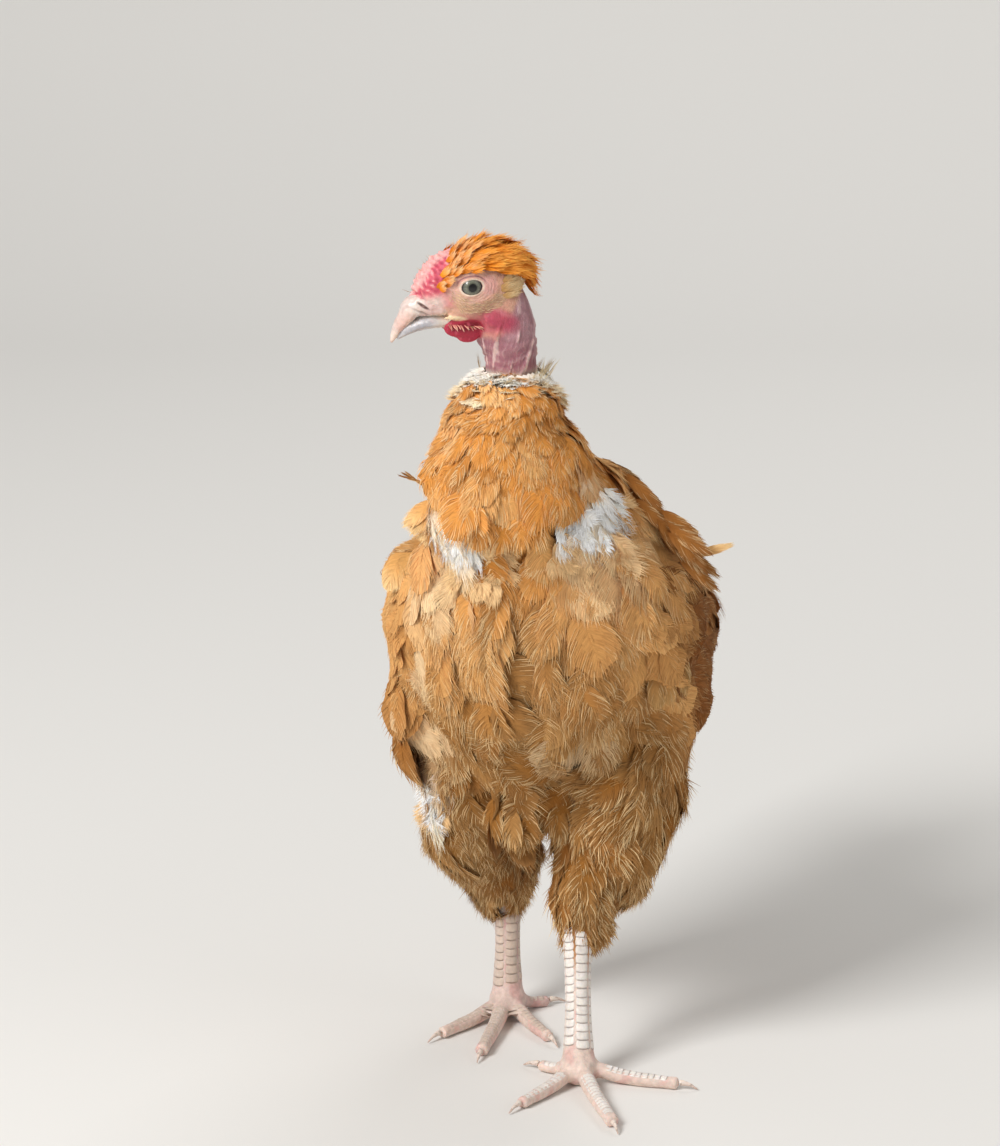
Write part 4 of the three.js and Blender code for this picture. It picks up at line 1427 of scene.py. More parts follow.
def white_down(outside, tree):
    """Tufts of bare white down where the feathers part."""
    places, normals, flats = scatter(outside, even(3.6), 91, keep=lambda p, n: whiteness(p) > 0.12)
    draw = default_rng(92)
    count = len(places)
    ways = lie(places, normals, shares(places))
    ways = swerve(ways, normals, draw.normal(0, 0.75, count))
    line, up = spines(places, normals, ways, draw.uniform(11, 18, count), tree, cling=0.6)
    tints = three_tones(count, draw, ("#fdf2e4", "#fff9f0", "#ffffff"), 0.03)
    buff = (1 - step(0.12, 0.6, whiteness(line[:, 3])))[:, None, None]
    tints = tints + (linear("#efc893") - tints) * buff
    return plumes(
        "white_down", line, up, flats, tints, 93, width=8, barbs=38, depth=0.5, rise=0.9, curl=0.4,
        loose=0.55, lay=0.3, beyond=0.4, pale=0.0, stout=0.4, vane=SMALL_VANE,
    )


class HEN_OT_plumage(bpy.types.Operator):
    """Makes the feathers of the body, thighs and wings"""

    bl_idname = "hen.plumage"
    bl_label = "Body plumage"

    def execute(self, context):
        outside = OUTSIDE["body"]
        unwrap(outside)
        material = feather_material()
        tree = surface(outside)
        things = body_feathers(outside, tree, context.scene.hen_plumage.depth / MM)
        finish_piece(white_down(outside, tree), material)
        for name, thing in things.items():
            wing = name == "wing_coverts"
            finish_piece(
                thing, material,
                ["wing_left", "wing_right"] if wing else (),
            )
        return {"FINISHED"}


# ---------------------------------------------------------------- plumage of the head and collar


def cap_edge(ahead):
    """How high the lowest roots of the cap are at each place ahead of the eye."""
    return np.interp(ahead, [-30, -22, -12, 0, 6, 11, 15, 19], [3, 6, 7.5, 9, 7, 2, -3, -2])


def cap_front(up):
    """How far ahead the cap's roots reach at each height."""
    return np.interp(up, [-2, 4, 12, 20], [18.5, 16.5, 12, 8])


def head_tufts(scalp, keep, spacing, seed, way, length, tint, tree, cling=0.5, rows=4, make=fans, **shape):
    """Feathers on part of the head. keep, way, length and some of the shape are functions of head places."""
    places, normals, flats = scatter(scalp, even(spacing), seed, keep=lambda p, n: keep(to_head(p)))
    local = to_head(places)
    places = nearest(tree, places)[0]
    draw = default_rng(seed + 1)
    ways = square_to(normals, unit(way(local) @ HEAD_AXES))
    ways = swerve(ways, normals, draw.normal(0, 0.16, len(places)) + 0.2 * wander(places, 9, seed + 2))
    lengths = length(local) * (1 + draw.normal(0, 0.13, len(places)))
    line, up = spines(places, normals, ways, lengths, tree, rows=rows, cling=cling)
    tints = tint(local, draw)
    shape = {key: value(local) if callable(value) else value for key, value in shape.items()}
    return make(f"tufts_{seed}", line, up, flats, tints, seed + 3, **shape)


def three_tones(count, draw, tones, vary=0.1):
    """Root, middle and tip colours for each feather, all a little lighter or darker together."""
    base = np.array([linear(tone) for tone in tones])[None].repeat(count, axis=0)
    return np.clip(base * (1 + draw.normal(0, vary, (count, 1, 1))), 0, 1)


def in_tones(tones, vary):
    """A tint for head_tufts: the same three tones all over."""
    return lambda local, draw: three_tones(len(local), draw, tones, vary)


def cap_feathers(scalp, tree):
    """The cap: short ginger feathers swept back over the crown and hanging over the nape."""

    def keep(local):
        _, ahead, up = local.T
        return (up > cap_edge(ahead)) & (ahead < cap_front(up))

    def way(local):
        side, ahead, _ = local.T
        lift = np.interp(ahead, [-28, -16, 0, 10, 15], [-0.35, -0.2, 0.08, 0.5, 0.8])
        return np.stack([0.12 * np.sign(side), -np.ones_like(ahead), lift], 1)

    def length(local):
        return np.interp(local[:, 1], [-28, -10, 6, 14], [14, 16, 12, 8])

    def tint(local, draw):
        tones = three_tones(len(local), draw, ("#bf6818", "#f08c22", "#ffae4e"), 0.07)
        # the front feathers' tips paler: pale tips, with painted highlight where they stand up into the light
        front = step(6, 13, local[:, 1] + 0.25 * local[:, 2])[:, None]
        tones[:, 2] += (linear("#fbe3bd") - tones[:, 2]) * front * 0.5
        return tones

    def width(local):
        return np.interp(local[:, 1], [0, 14], [5, 3.2])

    def rise(local):
        return np.interp(local[:, 1], [-5, 8, 15], [4.2, 3, 1.2])

    return head_tufts(
        scalp, keep, 2.15, 101, way, length, tint, tree, cling=0.45, make=plumes, width=width, barbs=16,
        depth=0.6, rise=rise, curl=0.8, loose=0.4, lay=0.8, beyond=0.35, pale=0.05, stout=0.4,
        vane=SMALL_VANE,
    )


def face_feathers(scalp, tree):
    """Tiny flat feathers under the eye and the tuft over the ear."""

    def under(local):
        side, ahead, up = local.T
        ring = np.hypot((ahead + 3) / 13.5, (up + 1.5) / 11)
        band = step(0.6, 0.7, ring) * (1 - step(0.98, 1.15, ring)) * step(-2.5, -4.5, up - 0.1 * ahead)
        return band * (np.abs(side) > 6) * step(11, 7, ahead)

    def ear(local):
        side, ahead, up = local.T
        return (np.hypot((ahead + 17) / 5, (up + 2.5) / 4.5) < 1) & (np.abs(side) > 6)

    def round_eye(local):
        side, ahead, _ = local.T
        return np.stack([0 * side, -0.9 + 0.03 * ahead, -0.1 - 0.05 * (ahead + 3)], 1)

    def back_up(local):
        return np.tile([0.0, -0.9, 0.35], (len(local), 1))

    tan = in_tones(("#d0a07a", "#e0b890", "#f4dcbc"), 0.08)
    small = head_tufts(
        scalp, under, 0.62, 111, round_eye, even(2.6), tan, tree, cling=0.8, rows=3, width=0.42, locks=1,
        depth=0.1, rise=0.3, thick=0.5, stout=1, rounding=0, lay=0.08, dome=0, soft=0.7, pale=0.3,
    )
    olive = in_tones(("#bd8850", "#d8aa6e", "#f2d8aa"), 0.07)
    tuft = head_tufts(
        scalp, ear, 1.4, 116, back_up, even(7.5), olive, tree, cling=0.6, make=plumes, width=3.4, barbs=10,
        depth=0.2, rise=1.0, loose=0.4, lay=0.3, beyond=0.35, pale=0.3, stout=0.3, vane=SMALL_VANE,
    )
    return [small, tuft]


def bristles(name, roots, ways, lengths, tones, seed, scalp, thick=0.16):
    """Single stiff hairs: roots and ways are head places, and the hairs bend as they go."""
    bend = 0.25
    draw = default_rng(seed)
    roots, ways = from_head(roots), unit(np.asarray(ways, float) @ HEAD_AXES)
    side = unit(np.cross(ways, draw.normal(size=ways.shape)))
    t = np.linspace(0, 1, 4)[None, :, None]
    lengths = np.asarray(lengths, float)[:, None, None]
    line = roots[:, None] + ways[:, None] * lengths * t + side[:, None] * lengths * bend * t**2
    up = np.repeat(side[:, None], 4, axis=1)
    tints = three_tones(len(roots), draw, tones, 0.1)
    flats = map_places(scalp, roots)
    return fans(
        name, line, up, flats, tints, seed + 1, width=thick * 2, locks=1, thick=0.8, stout=1, rounding=0,
        lay=0, dome=0, soft=0.2,
    )


def map_places(thing, points):
    """The bake map's place for the spot of a surface nearest to each point."""
    faces = nearest(surface(thing), points)[2]
    corners = [list(thing.data.polygons[int(face)].loop_indices) for face in faces]
    maps = bake_map_of(thing)
    return np.array([maps[near].mean(axis=0) for near in corners]).astype(float)


def head_bristles(scalp):
    """Bristles down the front of the comb, over the top of each wattle, and on the lores."""
    draw = default_rng(131)
    pieces = []
    line = spline(COMB_LINE, 40)[4:30:2]
    count = len(line)
    roots = np.stack([draw.normal(0, 1.4, count), line[:, 0] + 2.2, line[:, 1] + 1.5], 1)
    ways = [draw.normal(0, 0.3, count), np.full(count, 0.75), 0.5 + draw.normal(0, 0.25, count)]
    pieces.append(bristles("comb_bristles", roots, np.stack(ways, 1), draw.uniform(3, 6.5, count),
                           ("#b58a66", "#caa27c", "#e2c4a0"), 132, scalp))
    for sign in SIDES.values():
        count = 22
        t = np.linspace(0, 1, count)
        roots = np.stack([sign * (9.3 + 0.4 * draw.normal(size=count)), 10.5 - 15 * t, -19.2 - 1.6 * t], 1)
        ways = np.stack([np.full(count, sign * 0.45), -0.25 - 0.5 * t, -0.8 + 0.35 * t], 1)
        ways = ways + draw.normal(0, 0.1, (count, 3))
        pieces.append(bristles("wattle_bristles", roots, ways, draw.uniform(2.6, 4.2, count),
                               ("#d9847a", "#eaa491", "#f6cbb4"), 134 + sign, scalp, thick=0.38))
        count = 26
        side = sign * draw.uniform(7.5, 9.5, count)
        roots = np.stack([side, draw.uniform(8, 17, count), draw.uniform(-13, -2, count)], 1)
        ahead, up = 0.5 + draw.normal(0, 0.3, count), 0.4 + draw.normal(0, 0.4, count)
        ways = np.stack([np.full(count, sign * 0.5), ahead, up], 1)
        pieces.append(bristles("lore_bristles", roots, ways, draw.uniform(1.2, 2.2, count),
                               ("#e7b7a4", "#f0cdbb", "#fbe7da"), 138 + sign, scalp, thick=0.13))
    return pieces


def chin_feathers(scalp, tree):
    """Thin brownish bristle feathers under the lower beak and down the throat."""

    def keep(local):
        side, ahead, up = local.T
        return (up < -19.5) & (ahead > 1) & (ahead < 19) & (np.abs(side) < 7)

    def way(local):
        return np.tile([0.0, -0.75, -0.65], (len(local), 1))

    return head_tufts(
        scalp, keep, 1.35, 121, way, even(5.5), in_tones(("#7d6040", "#a98557", "#d9bd8d"), 0.15), tree,
        cling=0.15, width=2.2, locks=5, rise=1.6, rough=0.2, thick=0.5, stout=0.9, lay=0.6, soft=0.3,
    )


def collar_feathers(tree, flats_from):
    """Small pale feathers that close the top of the ruff round the bare neck, and down between them."""
    draw = default_rng(141)
    middle = HEN_AT + np.array([-18.4, -34.6, 0])
    pieces = []
    # the ruff's own, pale ones outside and down inside. A row is the count, the radius and height with what
    # chance adds and takes off, the fall of the feathers, the lengths, the cling, the rise, a seed and tones
    for count, radii, heights, fall, spans, cling, rise, seed, tones in (
        (70, (12.5, 4.5), (355, 4), 1.2, (12, 17), 0.45, 0.5, 142, ("#d08f4c", "#e0a661", "#f2d6a6")),
        (150, (12.5, 4.5), (359.5, 6), 1.2, (12, 17), 0.45, 0.5, 142, ("#f0d0a0", "#f5d9ab", "#fbecd0")),
        (230, (11.8, 2.5), (364.2, 2), 0.5, (9, 13), 0.2, 0.9, 143, ("#f9efe2", "#fff6ea", "#fffdf8")),
    ):
        angle = draw.uniform(0, 2 * np.pi, count)
        level = draw.uniform(0, 1, (count, 1))
        out = np.stack([np.cos(angle), np.sin(angle), np.zeros(count)], 1)
        roots = middle + out * (radii[0] + radii[1] * level) + UP * (heights[0] - heights[1] * level)
        ways = unit(out - UP * (fall + 0.6 * level) + draw.normal(0, 0.2, (count, 3)))
        normals = square_to(ways, unit(out + UP * 0.5))
        lengths = draw.uniform(*spans, count)
        line, up = spines(roots, normals, ways, lengths, tree, cling=cling)
        pieces.append(plumes(
            "collar_plumage", line, up, map_places(flats_from, roots), three_tones(count, draw, tones, 0.05),
            seed, width=lengths * 0.55, barbs=26, depth=0, rise=rise, curl=0.3, loose=0.4, lay=0.3,
            beyond=0.25, pale=0.2, stout=0.35, vane=SMALL_VANE,
        ))
    # upright hairs, mostly behind the neck and on its left
    count = 46
    angle = draw.normal(0.45, 0.9, count)
    out = np.stack([np.cos(angle), np.sin(angle), np.zeros(count)], 1)
    roots = middle + out * draw.uniform(12, 19, (count, 1)) + UP * draw.uniform(357, 361, (count, 1))
    ways = unit(UP + out * 0.45 + draw.normal(0, 0.22, (count, 3)))
    ways = ways[:, None] * draw.uniform(6, 12, (count, 1, 1))
    line = roots[:, None] + ways * np.linspace(0, 1, 4)[None, :, None]
    tints = three_tones(count, draw, ("#ead2a6", "#f3e0bb", "#fcf2dc"), 0.05)
    up = np.repeat(out[:, None], 4, axis=1)
    pieces.append(fans(
        "collar_hairs", line, up, map_places(flats_from, roots), tints, 145, width=2.4, locks=5, thick=0.4,
        stout=0.9, rough=0.25, rounding=0.25, lay=0.3, soft=0.5, curl=0.6,
    ))
    return joined(pieces, "collar_plumage")


class HEN_OT_head_plumage(bpy.types.Operator):
    """Makes the cap, the small feathers and bristles of the face, and the collar"""

    bl_idname = "hen.head_plumage"
    bl_label = "Head plumage"

    def execute(self, context):
        scalp = head_loft("scalp", SKULL)
        unwrap(scalp)
        tree = surface(bpy.data.objects["skin"])
        material = feather_material("cap_feather")
        cap = cap_feathers(scalp, tree)
        cap.name = cap.data.name = "cap_plumage"
        finish_piece(cap, material, ["crest"])
        parts = [*face_feathers(scalp, tree), *head_bristles(scalp), chin_feathers(scalp, tree)]
        finish_piece(joined(parts, "face_plumage"), material)
        outside = OUTSIDE["body"]
        collar = collar_feathers(surface(outside), outside)
        finish_piece(collar, material)
        bpy.data.objects.remove(scalp)
        return {"FINISHED"}


# ---------------------------------------------------------------- stiff feathers of the wings and tail


def blades(name, line, up, widths, tints, flats, seed):
    """Stiff feathers as closed thin plates, cupped across, with a shaft along the middle and ragged edges."""
    count = len(line)
    draw = default_rng(seed)
    rows, cols, cup = 16, 9, 0.12
    t = np.linspace(0, 1, rows)
    across = np.linspace(-1, 1, cols)
    at = np.broadcast_to(t, (count, rows))
    centre, normal = along_rows(line, at), unit(along_rows(up, at))
    ahead = unit(np.gradient(centre, axis=1))
    side = np.cross(ahead, normal)
    outline = np.sin(np.pi * np.clip(0.13 + 0.87 * t, 0, 1) ** 0.75) ** 0.55
    outline = np.minimum(outline, 1 - np.clip((t - 0.86) / 0.14, 0, 1) ** 2 * 0.97)
    ragged = 1 + draw.normal(0, 0.035, (count, rows, 2))
    notch = draw.random((count, rows, 2)) < 0.07
    ragged = ragged - notch * draw.uniform(0.08, 0.25, (count, rows, 2))
    edge = np.where(across[None, None] < 0, ragged[..., :1], ragged[..., 1:])
    lean = 0.07 * np.abs(across) ** 1.5 * np.sin(np.pi * t)[:, None]
    half = np.asarray(widths, float)[:, None, None] / 2 * outline[None, :, None]
    offset = half * across * edge
    height = -cup * half * across**2 + 0.5 * np.exp(-((across / 0.16) ** 2)) * (1 - 0.7 * t)[None, :, None]
    length = np.linalg.norm(line[:, -1] - line[:, 0], axis=1)[:, None, None]
    slide = -lean[None] * length * 0.6
    top = centre[:, :, None] + side[:, :, None] * offset[..., None] + normal[:, :, None] * height[..., None]
    top = top + ahead[:, :, None] * slide[..., None]
    under = top - normal[:, :, None] * (0.28 + 0.25 * np.exp(-((across / 0.16) ** 2)))[None, None, :, None]
    points = np.stack([top, under], 1).reshape(count, -1, 3)
    plane = rows * cols
    one = grid_quads(rows, cols, closed=False)
    left = np.arange(rows - 1) * cols
    right = left + cols - 1
    start, end = np.arange(cols - 1), np.arange(cols - 1) + (rows - 1) * cols
    quads = np.concatenate([
        one,
        one[:, ::-1] + plane,
        np.stack([left, left + cols, left + cols + plane, left + plane], 1),
        np.stack([right + cols, right, right + plane, right + cols + plane], 1),
        np.stack([start + 1, start, start + plane, start + 1 + plane], 1),
        np.stack([end, end + 1, end + 1 + plane, end + plane], 1),
    ])
    firsts = np.arange(count)[:, None, None] * plane * 2
    shaft = 0.3 * np.exp(-((across / 0.1) ** 2))
    shade = along_rows(tints, at)[:, :, None] * (1 + shaft)[None, None, :, None]
    pale = (np.abs(across) ** 3)[None, None, :, None] * 0.35
    shade = shade + (linear("#e0ad74") - shade) * pale
    # the underside is painted darker: painted shade
    tint = np.stack([shade, shade * 0.9], 1).reshape(-1, 3)
    spots = spot_on_map(t[:, None], (across + 1) / 2).reshape(1, -1, 2)
    spots = flats[:, None] + np.concatenate([spots, spots], 1)
    thing = outward(mesh_object(name, points.reshape(-1, 3), [(quads + firsts).reshape(-1, 4)]))
    paint(thing, tint)
    barb = (t[:, None] - 0.35 * np.abs(across) * np.asarray(widths)[:, None, None] / length) * length
    set_field(thing, "Barb", "FLOAT", "value", np.stack([barb, barb], 1))
    lay_bake_map(thing, spots.reshape(-1, 2))
    return thing


def set_out(at, lift, roll, swing, length, droop):
    """A stiff feather's middle line from its root, as the body's own frame has it."""
    lift, roll, swing = (math.radians(v) for v in (lift, roll, swing))
    c, s = math.cos(swing), math.sin(swing)
    turn = np.array([[c, -s, 0], [s, c, 0], [0, 0, 1]])
    c, s = math.cos(lift), math.sin(lift)
    tip = np.array([[1, 0, 0], [0, c, -s], [0, s, c]])
    ahead = turn @ tip @ np.array([0, 1, 0])
    face = turn @ tip @ np.array([math.sin(roll), 0, math.cos(roll)])
    t = np.linspace(0, 1, 6)[:, None]
    line = np.array(at) + ahead * length * t - face * droop * length * t**2
    up = unit(face + ahead * 2 * droop * t)
    return from_trunk(line), up @ TRUNK_AXES


def stiff_material():
    """Flight and tail feathers: stiff, close barbs with a slight oily gloss."""
    material, tree, shader = new_material("flight_feather")
    barb = add_node(tree, "Attribute", {"attribute_name": "Barb"}, "Fac")
    where = add_node(tree, "TexCoord", out="Object")
    # barbs 0.5 mm apart are drawn 1.1 mm apart so that they show
    turns = add_node(tree, "Math", {"operation": "MULTIPLY"}, _0=barb, _1=2 * math.pi / 1.1)
    lines = add_node(tree, "Math", {"operation": "SINE"}, _0=turns)
    mottle = add_node(tree, "TexNoise", out="Fac", Vector=where, Scale=260.0, Detail=3.0)
    both = add_node(tree, "Math", {"operation": "MULTIPLY_ADD"}, _0=lines, _1=0.1, _2=mottle)
    add_texture(tree, shader, both, 0.8, 1.15, relief=lines, strength=0.5, height=0.0003)
    set_inputs(shader, Roughness=0.55, IOR=1.5, Specular_IOR_Level=0.2)
    return material


def stiff_piece(name, rows, widths, tones, seed, material, replaces):
    """A finished piece of stiff feathers, from rows of middle lines and the ways their faces look."""
    draw = default_rng(seed)
    line = np.array([row[0] for row in rows])
    up = np.array([row[1] for row in rows])
    tints = three_tones(len(rows), draw, tones, 0.12)
    flats = map_places(OUTSIDE["body"], line[:, 0])
    thing = blades(name, line, up, widths, tints, flats, seed)
    finish_piece(thing, material, replaces)


class HEN_OT_stiff_feathers(bpy.types.Operator):
    """Makes the folded flight feathers, the tail and the loose feathers of the shoulders, flank and hock"""

    bl_idname = "hen.stiff_feathers"
    bl_label = "Flight and tail feathers"

    def execute(self, context):
        material = stiff_material()
        draw = default_rng(151)
        for side, sign in SIDES.items():
            rows, widths = [], []
            for i in np.linspace(0, 4.4, 9):
                at = (sign * (57.5 + 0.5 * i), 60 - 2 * i, 196 - 5.5 * i)
                rows.append(set_out(at, 2.5 * i - 16, sign * 80, sign * (15 - i), 94 - 5 * i, 0.03))
                widths.append(19)
            name, tones = f"flight_feathers_{side}", ("#9a5524", "#b56a30", "#8a4a20")
            stiff_piece(name, rows, widths, tones, 152 + sign, material, [f"flight_{side}"])
        rows, widths = [], []
        for sign in SIDES.values():
            for i in np.linspace(0, 4.2, 7):
                at = (sign * (2.5 + 2.3 * i), 106, 206 - 3 * i)
                roll, lift, swing = sign * (68 - 3.5 * i), 24 - 6.5 * i, -sign * 3.8 * i
                rows.append(set_out(at, lift + draw.normal(0, 1), roll, swing, 98 - 3 * i, 0.05))
                widths.append(27)
        self.add_loose_feathers()
        stiff_piece("tail_feathers", rows, widths, ("#a9602a", "#94501f", "#6e3a18"), 156, material, ["tail"])
        return {"FINISHED"}

    def add_loose_feathers(self):
        """The left shoulder's scapulars, stray feathers and tufts of both, and those of flank and hock."""
        draw = default_rng(157)
        rows, widths = [], []

        def add(root, way, length, face, width, droop):
            """Sets out one feather: its root, way and length, the way it faces, its width and its bend."""
            t = np.linspace(0, 1, 6)[:, None]
            way, face = unit(np.array(way, float)), np.array(face, float)
            face = unit(face - way * (way @ face))
            line = np.array(root) + way * length * t - face * droop * length * t**2
            rows.append((line, unit(face + way * 2 * droop * t)))
            widths.append(width)

        def grown(name, tones, seed):
            """The piece made of the feathers set out so far."""
            line, up = (np.array([row[k] for row in rows]) for k in (0, 1))
            flats = map_places(OUTSIDE["body"], line[:, 0])
            piece = plumes(
                name, line, up, flats, three_tones(len(rows), draw, tones, 0.12), seed, width=widths,
                barbs=34, depth=0, rise=0.2, curl=0.3, loose=0.18, lay=0.8, beyond=0.14, pale=0.4, stout=0.38,
            )
            rows.clear()
            widths.clear()
            return piece

        for t in draw.uniform(0, 1, 46):
            root = np.array([21, -46, 313]) * (1 - t) + np.array([56, -74, 285]) * t + draw.normal(0, 2.2, 3)
            way = np.array([0.7 + 0.1 * t, -0.3 + 0.3 * t, -0.62]) + draw.normal(0, 0.12, 3)
            add(root, way, 25 + 7 * draw.random(), (0.35, -0.7, 0.6), 8, draw.uniform(0.04, 0.14))
        add((58, -70, 278), (0.8, 0.1, -0.6), 34, (0.3, -0.8, 0.5), 7, 0.1)
        add((60, -70, 272), (0.72, 0.1, -0.7), 32, (0.3, -0.8, 0.5), 7, -0.05)
        for k in range(3):
            add((-57, -88, 306 + 2 * k), (-0.7 - 0.05 * k, 0, 0.55 - 0.15 * k), 17, (-0.4, -0.8, 0), 1, 0.1)
        brown = grown("scapulars", ("#7a4519", "#a66c34", "#8a5426"), 158)
        add((66, -64, 266), (0.85, 0.1, 0.22), 26, (0.1, -0.9, 0.3), 4.5, 0.1)
        for k in range(5):
            way = (-0.75 + 0.06 * k, 0.1, -0.62 - 0.1 * k)
            add((-54 + k, -87, 304 - 3 * k), way, 25 - 2 * k, (-0.4, -0.8, 0.3), 9, 0.12)
        for k in range(3):
            add((-65 - 3.5 * k, -66 + 3 * k, 273 - k), (-0.36, 0.2, -0.9), 27, (-0.55, -0.83, 0.1), 13, 0.12)
        stray = grown("stray_feathers", ("#c08a4d", "#d8a160", "#ecc892"), 159)
        for t in np.linspace(0, 1, 7):
            root = np.array([52, -87, 219]) * (1 - t) + np.array([66, -72, 226]) * t + draw.normal(0, 1.5, 3)
            add(root, (0.1, -0.05, -1), 27, (0.5, -1, 0), 9, 0.1)
        flank = grown("flank_feathers", ("#ad7a42", "#bf8a50", "#d3a468"), 160)
        for k in range(5):
            root, way = (-28 + 1.9 * k, -4 + 0.6 * abs(k - 2), 79), (0.04 * (k - 2), 0.12, -1)
            add(root, way, 18, (0, -1, 0), 6.5, 0.05)
        hock = grown("hock_feathers", ("#7d5629", "#94693a", "#b98c58"), 161)
        material = bpy.data.materials["contour_feather"]
        finish_piece(brown, material)
        for piece in (stray, flank, hock):
            finish_piece(piece, material)


# ---------------------------------------------------------------- horn, eyes, claws and scales


def horn_material(name):
    """Beak and claw horn: keratin, which is slightly waxy and lets a little light in."""
    material, tree, shader = new_material(name)
    where = add_node(tree, "TexCoord", out="Object")
    growth = add_node(tree, "TexNoise", out="Fac", Vector=where, Scale=520.0, Detail=4.0, Roughness=0.6)
    add_texture(tree, shader, growth, 0.88, 1.08, relief=growth, strength=0.35, height=0.0003)
    set_inputs(shader, Roughness=0.34, IOR=1.54, Subsurface_Weight=0.15, Subsurface_Scale=0.001)
    shader.inputs["Subsurface Radius"].default_value = (1.0, 0.6, 0.4)
    return material


def beak_half(name, stations, upper):
    """One half of the beak, with the nostril, its lid and the growth ridges pressed in."""
    thing = voxels(head_loft(name, stations, samples=90, sides=56), 0.32)
    relax_object(thing, 2)
    points, normals = points_of(thing), normals_of(thing)
    _, ahead, up = to_head(points).T
    flank = step(0.3, 0.7, np.abs((normals @ HEAD_AXES.T)[:, 0]))
    face = np.stack([ahead, up], 1)
    shift = 0.07 * wander(points * np.array([1, 1, 1.4]), 3.2, 161) - 0.05 * np.abs(wander(points, 1.8, 162))
    if upper:
        slit = spot(face, (22.2, -10.2), (2.9, 0.62), 34, 0.5)
        lid = spot(face, (21.6, -8.7), (3.4, 1.5), 34, 0.6)
        fold = spot(face, (22.8, -13.4), (4.6, 0.5), 24, 0.6)
        shift = shift - 1.5 * slit * flank + 0.5 * lid * flank - 0.35 * fold * flank
        horn = step(24, 28, ahead - 0.25 * (up + 12))
        shift = shift + 0.35 * (1 - horn) * (0.5 + 0.5 * wander(points, 5, 163)) * flank
    points = points + normals * shift[:, None]
    move_points(thing, points)
    if upper:
        ridge = step(-14.2, -16.2, up + 0.25 * (ahead - 20)) * (1 - step(27, 31, ahead))
        layers = [
            # a painted highlight along the culmen
            ("#efe2d6", 0.5 * spot(face, (26, -11), (6, 3), -40, 0.6)),
            ("#e6b8a8", spot(face, (31, -19), (3.5, 6), 25, 0.6) * 0.7),
            ("#f2dccb", spot(face, (36, -27), (2.2, 4), 15, 0.5) * 0.8),
            ("#e3bcb4", (1 - step(18, 25, ahead)) * 0.75),
            # painted shade in the nostril's slit and the fold under it
            ("#5d3a34", np.clip(1.6 * slit + 0.6 * fold, 0, 1) * flank * 0.9),
            ("#efdcc4", ridge * 0.7),
        ]
    else:
        layers = [
            ("#8f8c93", spot(face, (24, -21), (8, 1.3), -22, 0.6) * 0.5),
            ("#dccdbd", (1 - step(12, 19, ahead)) * 0.9),
        ]
    layers.append(("#c9a196", 0.35 * step(0.5, 1.3, wander(points, 4.5, 164))))
    paint(thing, layered(np.tile(linear("#dfcbc2" if upper else "#c9c6c8"), (len(points), 1)), layers))
    return thing


class HEN_OT_beak(bpy.types.Operator):
    """Makes the two halves of the beak"""

    bl_idname = "hen.beak"
    bl_label = "Beak"

    def execute(self, context):
        material = horn_material("keratin_beak")
        for name, stations in (("beak_upper", UPPER_BEAK), ("beak_lower", LOWER_BEAK)):
            thing = beak_half(name + "_horn", stations, name == "beak_upper")
            finish_piece(thing, material, [name])
        return {"FINISHED"}


def eye_material():
    """A wet eyeball: a clear, very smooth film over a matt iris round a black pupil."""
    material, tree, shader = new_material("wet_eyeball")
    out = add_node(tree, "Attribute", {"attribute_name": "Out"}, "Fac")
    turn = add_node(tree, "Attribute", {"attribute_name": "Iris"}, "Vector")
    fibres = add_node(tree, "TexNoise", out="Fac", Vector=turn, Scale=1.0, Detail=3.0)
    tone = add_node(tree, "ValToRGB", Fac=out)
    # from the pupil out over the iris to the dark rim and the flesh round it
    bands = [(0.0, "#020202"), (0.262, "#020202"), (0.285, "#494a3e"), (0.4, "#757766"), (0.56, "#62655a"),
             (0.64, "#3d3e38"), (0.7, "#241f1d"), (0.78, "#5b4743")]
    stops = tone.node.color_ramp.elements
    while len(stops) < len(bands):
        stops.new(0.5)
    for stop, (at, colour) in zip(stops, bands):
        stop.position, stop.color = at, (*linear(colour), 1)
    add_texture(tree, shader, fibres, 0.62, 1.3, tone)
    set_inputs(shader, Roughness=0.35, IOR=1.38, Coat_Weight=1.0, Coat_Roughness=0.02, Coat_IOR=1.38)
    return material


class HEN_OT_eyes(bpy.types.Operator):
    """Makes the eyeballs"""

    bl_idname = "hen.eyes"
    bl_label = "Eyes"

    def execute(self, context):
        material = eye_material()
        for side, sign in SIDES.items():
            at = np.array([sign * EYE_OUT, 0, 0])
            thing = ball(f"eyeball_{side}", at, (EYE_RADIUS,) * 3, 128)
            local = to_head(points_of(thing)) - at
            away = np.hypot(local[:, 1], local[:, 2]) + 20 * (local[:, 0] * sign < 0)
            # the clear front bulges a little over the iris
            local = local + unit(local) * (0.45 * (1 - step(2.5, 5.2, away)))[:, None]
            move_points(thing, from_head(local + at))
            set_field(thing, "Out", "FLOAT", "value", np.minimum(away / EYE_RADIUS, 1))
            ways = local[:, 1:] / np.maximum(away, 1e-6)[:, None] * 9
            set_field(thing, "Iris", "FLOAT_VECTOR", "vector", np.column_stack([ways, away * 0.5]))
            finish_piece(thing, material, [f"eye_{side}"])
        return {"FINISHED"}


def toe_line(side, kind):
    """The middle line of a toe, from the foot to the claw."""
    copy = node_copy([f"toe_{side}_{kind}"], "search", 0)
    points = points_of(copy)
    bpy.data.objects.remove(copy)
    foot, claw = box_middle(f"foot_{side}"), box_middle(f"claw_{side}_{kind}")
    along = (points - foot) @ unit(claw - foot)
    bins = np.linspace(along.min(), along.max(), 7)
    middles = []
    for low, high in zip(bins[:-1], bins[1:]):
        here = points[(along >= low - 1) & (along <= high + 1)]
        middles.append((here.min(axis=0) + here.max(axis=0)) / 2)
    return spline(middles, 60)


